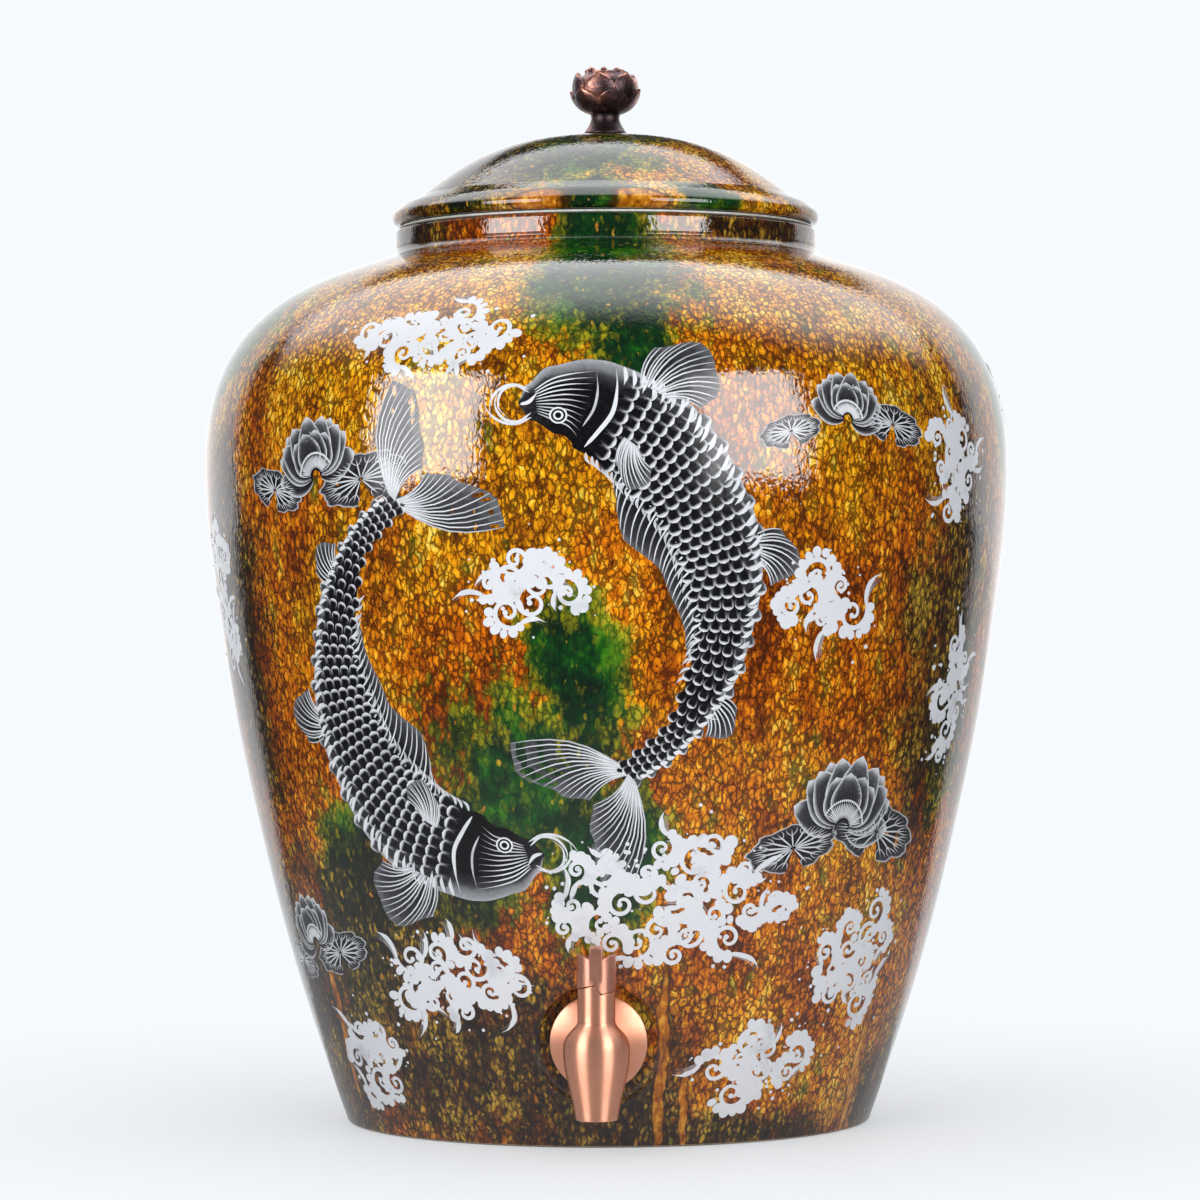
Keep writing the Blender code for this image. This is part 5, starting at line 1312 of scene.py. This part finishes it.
def make_antique_copper():
    """Blackened copper plate, rubbed to bright copper where the mesh is marked."""
    material, tree, shader, place = finish_of("antique_copper", Metallic=0.9)
    mark = add(tree, "Attribute", attribute_name="rubbed").outputs["Fac"]
    stain = grain(tree, place, 420.0, 4.0, 0.65)
    cast = grain(tree, place, 1600.0, 3.0, 0.6)
    wear = grain(tree, place, 90.0, 2.0, 0.5)
    share = calc(tree, "ADD", mark, calc(tree, "MULTIPLY_ADD", stain, 1.1, -0.58))
    share = calc(tree, "ADD", share, calc(tree, "MULTIPLY_ADD", wear, 2.2, -1.05))
    colour = ramp(tree, share, (0.05, srgb(62, 50, 52)), (0.35, srgb(96, 74, 76)),
                  (0.62, srgb(144, 100, 90)), (0.9, srgb(206, 146, 124)))
    tree.links.new(colour, shader.inputs["Base Color"])
    tree.links.new(soft_step(tree, share, 0.1, 0.9, 0.36, 0.28), shader.inputs["Roughness"])
    bumped(tree, shader, calc(tree, "ADD", stain, calc(tree, "MULTIPLY", cast, 0.5)), 0.00035, 0.6)
    return material


antique_copper = make_antique_copper()
piece(build_knob(), "lotus_knob", "lid", [antique_copper], ["lid_knob"],
      crease=55.0)


# The knob's fixings: a silicone gasket under its foot, and from under the lid a steel
# screw with a silicone washer, so that nothing hard bears on the glaze.

piece(turned([(3.4, 454.35), (3.6, 454.3), (9.2, 454.3), (9.45, 454.45), (9.45, 454.75),
              (9.2, 454.9), (3.6, 454.9), (3.4, 454.85)], 64),
      "knob_gasket_ring", "lid", [silicone], ["knob_gasket"])
piece(turned([(2.7, 444.9), (2.9, 444.7), (8.2, 444.7), (8.5, 444.95), (8.5, 445.45), (8.2, 445.7),
              (2.9, 445.7), (2.7, 445.5)], 64),
      "knob_washer_ring", "lid", [silicone], ["knob_screw_washer"])


def make_plain_metal(name, light, dark, roughness, draw):
    """A plain machined metal with fine turning lines along one direction."""
    material, tree, shader, place = finish_of(name, Metallic=1.0)
    lines = grain(tree, vector_calc(tree, "MULTIPLY", place, draw), 1.0, 3.0, 0.6)
    haze = grain(tree, place, 240.0, 3.0, 0.6)
    share = calc(tree, "MULTIPLY_ADD", lines, 0.6, calc(tree, "MULTIPLY", haze, 0.4))
    colour = blend(tree, share, dark, light)
    tree.links.new(colour, shader.inputs["Base Color"])
    low, high = roughness
    tree.links.new(soft_step(tree, haze, 0.35, 0.65, low, high), shader.inputs["Roughness"])
    bumped(tree, shader, lines, 0.00012, 0.5)
    return material


steel = make_plain_metal("machined_steel", srgb(206, 207, 209), srgb(158, 159, 162), (0.24, 0.38),
                         (300.0, 300.0, 5200.0))
brass = make_plain_metal("machined_brass", srgb(222, 190, 118), srgb(170, 134, 66), (0.24, 0.38),
                         (5200.0, 300.0, 5200.0))


def refinish(node_name, material):
    """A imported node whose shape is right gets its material."""
    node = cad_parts[node_name]
    node.data.materials.clear()
    node.data.materials.append(material)


refinish("knob_screw", steel)


# The tap's body. One brass casting, turned and plated in satin rose copper: a spout that
# flares down to a lip, a bulb, a barrel cut to a two-step cam, and a threaded shank behind.

TAP_AXIS = 162.5
BARREL_RADIUS = 8.15
BORE_RADIUS = 6.7
BULB_KNOTS = [(9.1, 17.7, 8.0), (14.4, 47.4, 0.0), (11.5, 54.7, -41.0),
              (BARREL_RADIUS, 59.6, 0.0)]
CAM_HEIGHT = 71.0
CAM_RISE = 3.6
CAM_STEP_AT = -84.0
CAM_STEP_ANGLE = 24.0
CAM_GAP = 0.4
SHANK_RADIUS = 7.8
SHANK_BORE = 4.6
SHANK_TAIL = 108.9
THREAD_END = 134.5
THREAD_PITCH = 1.5
THREAD_DEPTH = 0.7
THREAD_STEPS = 12
FLANGE_FRONT = 139.5
TAP_PLACE = (0, -TAP_AXIS * MM, 0)
SHANK_PLACE = (0, 0, TAP_HEIGHT * MM)
OUTWARD = (math.radians(90), 0, 0)


def cam_height(angle):
    """Height of the cam at an angle in degrees: it climbs, then steps down, twice a turn."""
    along = (angle - CAM_STEP_AT + CAM_STEP_ANGLE / 2) % 180.0
    if along < CAM_STEP_ANGLE:
        return CAM_HEIGHT + CAM_RISE * (1 - ease(0.0, CAM_STEP_ANGLE, along))
    return CAM_HEIGHT + CAM_RISE * (along - CAM_STEP_ANGLE) / (180.0 - CAM_STEP_ANGLE)


def cam_ring(bm, radius, shift, angles):
    """A ring of the barrel or the handle that follows the cam."""
    ring = []
    for angle in angles:
        height = cam_height(math.degrees(angle) - 90.0) + shift
        ring.append(bm.verts.new(round_spot(radius, angle, height)))
    return ring


def make_rose_copper(name, light, dark, draw, roughness, relief, stretch):
    """Satin copper plate: fine lines along one direction that draw the gloss out across them."""
    material, tree, shader, place = finish_of(name, Metallic=0.86, Anisotropic=stretch,
                                              Anisotropic_Rotation=0.25)
    round_axis = add(tree, "Tangent", direction_type="RADIAL", axis="Z").outputs[0]
    tree.links.new(round_axis, shader.inputs["Tangent"])
    lines = grain(tree, vector_calc(tree, "MULTIPLY", place, draw), 1.0, 3.0, 0.65)
    haze = grain(tree, place, 130.0, 4.0, 0.6)
    share = calc(tree, "MULTIPLY_ADD", lines, 0.7, calc(tree, "MULTIPLY_ADD", haze, 0.8, -0.25))
    tree.links.new(blend(tree, share, dark, light), shader.inputs["Base Color"])
    low, high = roughness
    tree.links.new(soft_step(tree, share, 0.2, 0.8, high, low), shader.inputs["Roughness"])
    bumped(tree, shader, lines, 0.0001, relief)
    return material


turned_copper = make_rose_copper("turned_rose_copper", srgb(254, 190, 160), srgb(238, 160, 128),
                                 (120.0, 120.0, 2600.0), (0.38, 0.43), 0.35, 0.96)


def build_tap_barrel():
    """The upright part: outside from the lip to the cam, and the bore with its valve seat."""
    bm = bmesh.new()
    angles = even_angles(120)
    lip = [(7.2, 17.25), (7.5, 17.0), (8.5, 17.0), (8.95, 17.2)]
    outside = lip + knot_line(BULB_KNOTS, 16, WALL_PULL)
    outside[-1] = (8.3, 59.4)
    outside += [(BARREL_RADIUS, height) for height in (59.9, 62.0, 66.0, 70.0)]
    rings = [ring_of(bm, radius, height, angles) for radius, height in outside]
    for radius, shift in ((BARREL_RADIUS, -0.3), (7.9, 0.0), (6.9, 0.0), (BORE_RADIUS, -0.2)):
        rings.append(cam_ring(bm, radius, shift, angles))
    bore = [(BORE_RADIUS, 70.0), (BORE_RADIUS, 60.0), (BORE_RADIUS, 38.5), (6.4, 38.2), (4.6, 38.2),
            (4.3, 37.9), (4.3, 34.9), (4.6, 34.3), (6.6, 26.4), (6.8, 25.8)]
    rings += [ring_of(bm, radius, height, angles) for radius, height in bore]
    for low, high in zip(rings, rings[1:] + rings[:1]):
        bridge(bm, low, high)
    return bm


def build_shank():
    """The part behind, drawn along +Z: shoulder ring, threaded shank and its bore."""
    bm = bmesh.new()
    angles = even_angles(64)
    rows = []
    turns = int((THREAD_END - SHANK_TAIL) / THREAD_PITCH)
    for turn in range(turns * THREAD_STEPS):
        along = SHANK_TAIL + 1.0 + turn * THREAD_PITCH / THREAD_STEPS
        fade = ease(0.0, 1.5, along - SHANK_TAIL - 1.0) * ease(0.0, 1.5, THREAD_END - 0.5 - along)
        ring = []
        for angle in angles:
            phase = (turn / THREAD_STEPS + angle / FULL_TURN) % 1.0
            reach = SHANK_RADIUS - THREAD_DEPTH * abs(2 * phase - 1) * fade
            ring.append(bm.verts.new(round_spot(reach, angle, along)))
        rows.append(ring)
    tail = [ring_of(bm, radius, along, angles) for radius, along in
            ((SHANK_BORE, SHANK_TAIL + 0.4), (5.0, SHANK_TAIL), (6.9, SHANK_TAIL),
             (7.1, SHANK_TAIL + 0.2))]
    front = [(SHANK_RADIUS, 134.9), (SHANK_RADIUS, FLANGE_FRONT + 0.25),
             (9.1, FLANGE_FRONT + 0.25), (9.4, FLANGE_FRONT + 0.55), (9.4, 141.6), (9.1, 142.2),
             (8.9, 142.8), (8.9, 149.5), (9.2, 150.4), (9.6, 151.6)]
    front = [ring_of(bm, radius, along, angles) for radius, along in front]
    bore = [ring_of(bm, SHANK_BORE, along, angles) for along in (155.9, 140.0, 120.0)]
    rings = tail + rows + front + bore
    for low, high in zip(rings, rings[1:] + rings[:1]):
        bridge(bm, low, high)
    return bm


barrel = piece(build_tap_barrel(), "tap_casting", None, [turned_copper], at=TAP_PLACE)
piece(build_shank(), "tap_shank", "jar", [turned_copper], at=SHANK_PLACE,
      turn=OUTWARD)
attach(barrel, "jar")
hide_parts("tap_body")


# The clamp. A pressed copper flange hides a silicone washer against the glaze outside;
# inside the jar another washer, a steel plate washer and a brass nut pull the shank tight.

FLANGE_SECTION = [
    (8.3, 138.1), (14.6, 138.1), (15.0, 137.9), (16.0, 136.1), (16.3, 135.85), (20.7, 135.8),
    (21.0, 135.95), (21.15, 136.3), (21.0, 136.65), (20.6, 136.85), (19.2, 137.35),
    (17.4, 137.95), (15.0, 138.55), (12.8, 139.0), (11.6, 139.2), (10.4, 139.35), (9.5, 139.5),
    (8.3, 139.5),
]
flange_copper = make_rose_copper("spun_rose_copper", srgb(254, 192, 162), srgb(238, 158, 126),
                                 (240.0, 240.0, 240.0), (0.38, 0.44), 0.2, 0.6)
piece(turned(FLANGE_SECTION, 128), "tap_rose", "jar", [flange_copper],
      ["tap_flange"], at=SHANK_PLACE, turn=OUTWARD)
# Name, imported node, radius, near and far face, material and slot
WASHERS = [
    ("outer_washer", "tap_outer_washer", 14.5, 135.8, 137.8, silicone, "silicone"),
    ("inner_washer", "tap_inner_washer", 14.0, 119.5, 121.7, silicone, "silicone"),
    ("nut_washer", "tap_nut_washer", 14.6, 118.0, 119.2, steel, "plain_steel"),
]
for washer_name, node_name, reach, near, far, material, slot in WASHERS:
    section = [(8.1, near + 0.2), (8.3, near), (reach - 0.3, near), (reach, near + 0.3),
               (reach, far - 0.3), (reach - 0.3, far), (8.3, far), (8.1, far - 0.2)]
    piece(turned(section, 96), washer_name, "jar", [material], [node_name],
          at=SHANK_PLACE, turn=OUTWARD)
refinish("tap_lock_nut", brass)


# The valve. A brass gland with an O-ring guides a steel stem; the stem carries a silicone
# stopper that a spring presses on the seat. They are hidden in the barrel.

refinish("gland_bush", brass)
refinish("gland_o_ring", silicone)

SPRING_RADIUS = 4.1
SPRING_WIRE = 0.4
SPRING_TURNS = 5
SPRING_STEPS = 40
WIRE_SIDES = 12


def build_spring(low, high):
    """A helix of round wire with cut ends."""
    bm = bmesh.new()
    rings = []
    count = SPRING_TURNS * SPRING_STEPS
    for index in range(count + 1):
        angle = FULL_TURN * SPRING_TURNS * index / count
        height = low + SPRING_WIRE + (high - low - 2 * SPRING_WIRE) * index / count
        ring = []
        for turn in even_angles(WIRE_SIDES):
            reach = SPRING_RADIUS + SPRING_WIRE * math.cos(turn)
            ring.append(bm.verts.new((reach * math.cos(angle) * MM, reach * math.sin(angle) * MM,
                                      (height + SPRING_WIRE * math.sin(turn)) * MM)))
        rings.append(ring)
    for low_ring, high_ring in zip(rings, rings[1:]):
        bridge(bm, low_ring, high_ring)
    bm.faces.new(rings[0])
    bm.faces.new(rings[-1])
    return bm


spring_low, spring_high = (corner[2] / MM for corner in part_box("valve_spring"))
spring = piece(build_spring(spring_low, spring_high), "coil_spring", "jar",
               [steel], ["valve_spring"], at=TAP_PLACE)
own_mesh(spring)
refinish("valve_stem", steel)
refinish("valve_stopper", silicone)


# The handle. A copper cap that rides on the barrel's cam, valley-shaped on top with a thumb
# fin across it, brushed lengthways and fixed to the stem by a grub screw from behind.

HANDLE_RADIUS = 8.35
SKIRT_BORE = 6.4
SKIRT_TOP = 77.0
VALLEY_HEIGHT = 84.9
VALLEY_ANGLE = 21.0
FIN_TOP = 90.9
FIN_HALF = 2.72
FIN_SIDE = [
    (-7.95, 75.8), (-8.35, 77.8), (-9.0, 84.9), (-9.4, 88.0), (-9.3, 89.2), (-8.8, 90.2),
    (-7.8, FIN_TOP), (7.4, FIN_TOP), (8.5, 90.2), (9.0, 89.3), (9.4, 86.8), (9.0, 85.0),
    (7.95, 83.3), (6.35, 75.8),
]
STEM_HOLE = 2.8
STEM_TOP = 83.0
GRUB_HEIGHT = 80.4
GRUB_HOLE = 1.8
VOXEL = 0.16

brushed_copper = make_rose_copper("brushed_rose_copper", srgb(240, 178, 156), srgb(206, 136, 112),
                                  (2600.0, 2600.0, 90.0), (0.38, 0.46), 0.6, 0.9)


def applied(thing):
    """The mesh of a piece once its modifiers are made part of it."""
    bpy.context.view_layer.update()
    graph = bpy.context.evaluated_depsgraph_get()
    mesh = bpy.data.meshes.new_from_object(thing.evaluated_get(graph))
    thing.modifiers.clear()
    thing.data = mesh
    return mesh


def joined(first, second, operation):
    """One closed mesh added to another or taken from it, at once."""
    step = first.modifiers.new("joined", "BOOLEAN")
    step.operation = operation
    step.solver = "EXACT"
    step.object = second
    applied(first)
    bpy.data.objects.remove(second)


def build_handle():
    """Blank, valley, fin, skirt and grub hole, softened all over as a cast and tumbled piece."""
    angles = even_angles(96)
    bm = bmesh.new()
    rings = [cam_ring(bm, radius, CAM_GAP, angles) for radius in (SKIRT_BORE, HANDLE_RADIUS)]
    rings += [ring_of(bm, HANDLE_RADIUS, height, angles) for height in (80.0, FIN_TOP)]
    rings.append(ring_of(bm, 0, FIN_TOP, angles))
    skirt = [ring_of(bm, radius, SKIRT_TOP, angles) for radius in (0, SKIRT_BORE)]
    rings = skirt + rings
    for low, high in zip(rings, rings[1:]):
        bridge(bm, low, high)
    handle = piece(bm, "handle_cap", None, [brushed_copper], at=TAP_PLACE)

    wide = HANDLE_RADIUS * 1.5
    rise = wide * math.tan(math.radians(VALLEY_ANGLE))
    valley = [(-wide, VALLEY_HEIGHT + rise), (0, VALLEY_HEIGHT), (wide, VALLEY_HEIGHT + rise),
              (wide, FIN_TOP + wide), (-wide, FIN_TOP + wide)]
    cutter = piece(slab(valley, -wide, wide, False), "valley_cutter", None, [], at=TAP_PLACE)
    joined(handle, cutter, "DIFFERENCE")
    fin = piece(slab(FIN_SIDE, -FIN_HALF, FIN_HALF, True), "fin_blank", None, [],
                at=TAP_PLACE)
    joined(handle, fin, "UNION")
    hollow = turned([(0, 60.0), (SKIRT_BORE, 60.0), (SKIRT_BORE, SKIRT_TOP), (STEM_HOLE, SKIRT_TOP),
                     (STEM_HOLE, STEM_TOP), (0, STEM_TOP)], 64, closed=False)
    joined(handle, piece(hollow, "skirt_cutter", None, [], at=TAP_PLACE), "DIFFERENCE")
    drill = turned([(0, 1.5), (GRUB_HOLE, 1.5), (GRUB_HOLE, 12.0), (0, 12.0)], 32, closed=False)
    drill = piece(drill, "grub_drill", None, [], at=(0, -TAP_AXIS * MM, GRUB_HEIGHT * MM),
                  turn=(-math.radians(90), 0, 0))
    joined(handle, drill, "DIFFERENCE")

    skin = handle.modifiers.new("skin", "REMESH")
    skin.mode = "VOXEL"
    skin.voxel_size = VOXEL * MM
    soften = handle.modifiers.new("soften", "SMOOTH")
    soften.factor = 0.5
    soften.iterations = 5
    fewer = handle.modifiers.new("fewer", "DECIMATE")
    fewer.ratio = 0.30
    mesh = applied(handle)
    mesh.shade_smooth()
    mesh.set_sharp_from_angle(angle=math.radians(60))
    mesh.materials.clear()
    mesh.materials.append(brushed_copper)
    return handle


def slab(outline, near, far, across):
    """An outline in the front or side view, drawn out between two distances."""
    bm = bmesh.new()
    ends = []
    for distance in (near, far):
        ends.append([bm.verts.new((distance * MM, a * MM, b * MM) if across
                                  else (a * MM, distance * MM, b * MM)) for a, b in outline])
    bm.faces.new(ends[0])
    bm.faces.new(ends[1])
    bridge(bm, ends[0], ends[1])
    return bm


handle = build_handle()
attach(handle, "handle")
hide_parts("tap_handle")
refinish("handle_grub_screw", steel)


# The studio. A pale sweep, two softboxes that only show in the gloss, two keys and a panel
# overhead that light what is matt, and the camera far back at the height of the jar's middle.

FLOOR_REACH = 6.0
FLOOR_DROP = 0.0002
CAMERA_DISTANCE = 2.080
CAMERA_TURN = 1.8
CAMERA_HEIGHT = 0.2327
CAMERA_LENS = 134.7
CAMERA_ROLL = 0.2
CAMERA_SHIFT = (-7 / 1200, 15 / 1200)
SENSOR_WIDTH = 36.0
BACKGROUND = (0.925, 0.960, 0.992, 1.0)
# The overhead panel as the gloss sees it: its angles up from the back, and its level
PANEL_BACK = math.radians(41)
PANEL_FADE = math.radians(78)
PANEL_FRONT = math.radians(112)
PANEL_GLOSS = 2.6


def build_floor():
    """The sweep that the jar stands on."""
    bm = bmesh.new()
    rings = [ring_of(bm, radius, 0.0, even_angles(64))
             for radius in (0, 300, 900, 2000, FLOOR_REACH / MM)]
    for low, high in zip(rings, rings[1:]):
        bridge(bm, low, high)
    mesh = bpy.data.meshes.new("sweep")
    bm.to_mesh(mesh)
    bm.free()
    floor = bpy.data.objects.new("sweep", mesh)
    floor.location.z = -FLOOR_DROP
    bpy.context.scene.collection.objects.link(floor)
    material, tree, shader, place = finish_of(
        "pale_sweep", Base_Color=(0.90, 0.915, 0.935, 1.0), Roughness=0.55, Specular_IOR_Level=0.2)
    away = add(tree, "VectorMath", {0: place}, operation="LENGTH").outputs["Value"]
    glow = add(tree, "Emission", {"Color": BACKGROUND, "Strength": 1.0}).outputs[0]
    fade = soft_step(tree, away, 0.06, 0.60, 0.45, 1.0)
    paths = add(tree, "LightPath").outputs
    out = tree.nodes["Material Output"]
    mixed = add(tree, "MixShader", {0: calc(tree, "MULTIPLY", fade, paths["Is Camera Ray"]),
                                    1: shader.outputs[0], 2: glow})
    depth = calc(tree, "DIVIDE", add(tree, "SeparateXYZ", {0: place}).outputs[1], away)
    dim = soft_step(tree, away, 0.30, 0.80, 0.46, 0.08)
    dim = calc(tree, "MAXIMUM", dim, soft_step(tree, depth, 0.62, 0.70, 0.0, 1.0))
    gloss = add(tree, "Emission", {"Color": BACKGROUND, "Strength": dim}).outputs[0]
    mixed = add(tree, "MixShader", {0: paths["Is Glossy Ray"], 1: mixed.outputs[0], 2: gloss})
    tree.links.new(mixed.outputs[0], out.inputs["Surface"])
    mesh.materials.append(material)


def lamp(name, place, aim, width, height, radiance, gloss):
    """A rectangular lamp that either shows in gloss or lights what is matt."""
    data = bpy.data.lights.new(name, "AREA")
    data.shape = "RECTANGLE"
    data.size = width
    data.size_y = height
    data.energy = radiance * math.pi * width * height
    thing = bpy.data.objects.new(name, data)
    thing.location = place
    thing.rotation_euler = (Vector(aim) - Vector(place)).to_track_quat("-Z", "Y").to_euler()
    thing.visible_camera = False
    thing.visible_diffuse = not gloss
    thing.visible_glossy = gloss
    bpy.context.scene.collection.objects.link(thing)


def build_world():
    """For the gloss, white behind the jar and a panel overhead; an even fill for what is matt."""
    world = bpy.data.worlds.new("studio")
    bpy.context.scene.world = world
    world.use_nodes = True
    tree = world.node_tree
    back = tree.nodes["Background"]
    paths = add(tree, "LightPath").outputs
    direction = add(tree, "SeparateXYZ", {0: add(tree, "TexCoord").outputs["Generated"]}).outputs
    aside = calc(tree, "ABSOLUTE", direction[0])
    over_edge = calc(tree, "MULTIPLY_ADD", aside, -1.1, direction[2])
    behind = calc(tree, "MULTIPLY", soft_step(tree, direction[1], 0.61, 0.67),
                  soft_step(tree, over_edge, 0.27, 0.20))
    gloss = blend(tree, behind, (0.06, 0.06, 0.065, 1.0), (1.28, 1.30, 1.33, 1.0))
    over = calc(tree, "ARCTAN2", direction[2], direction[1])
    above = calc(tree, "MULTIPLY", soft_step(tree, over, PANEL_BACK - 0.02, PANEL_BACK + 0.02),
                 soft_step(tree, over, PANEL_FRONT, PANEL_FADE))
    above = calc(tree, "MULTIPLY", above, soft_step(tree, aside, 0.86, 0.60))
    gloss = blend(tree, above, gloss, (PANEL_GLOSS, PANEL_GLOSS, 1.03 * PANEL_GLOSS, 1.0))
    fill = blend(tree, paths["Is Glossy Ray"], (0.28, 0.29, 0.31, 1.0), gloss)
    tree.links.new(blend(tree, paths["Is Camera Ray"], fill, BACKGROUND), back.inputs["Color"])


def build_camera():
    """The camera of the picture: level, a little to the right of the tap."""
    turn = math.radians(CAMERA_TURN)
    data = bpy.data.cameras.new("camera")
    data.sensor_width = SENSOR_WIDTH
    data.lens = CAMERA_LENS
    data.shift_x, data.shift_y = CAMERA_SHIFT
    camera = bpy.data.objects.new("camera", data)
    camera.location = (CAMERA_DISTANCE * math.sin(turn), -CAMERA_DISTANCE * math.cos(turn),
                       CAMERA_HEIGHT)
    camera.rotation_euler = (math.radians(90), math.radians(CAMERA_ROLL), turn)
    bpy.context.scene.collection.objects.link(camera)
    bpy.context.scene.camera = camera


build_floor()
lamp("left_softbox", (-1.20, -1.06, 0.74), (0, 0, 0.30), 0.92, 1.06, 7.4, True)
lamp("right_softbox", (1.06, -1.20, 0.74), (0, 0, 0.30), 0.88, 1.06, 7.0, True)
lamp("left_key", (-0.70, -1.62, 0.80), (0, 0, 0.25), 0.90, 0.90, 5.0, False)
lamp("right_key", (0.58, -1.66, 0.80), (0, 0, 0.25), 0.90, 0.90, 4.6, False)
lamp("overhead_panel", (0, 0.40, 1.62), (0, 0.40, 0), 2.4, 2.40, 0.95, False)
build_world()
build_camera()
bpy.context.scene.view_settings.view_transform = "Standard"
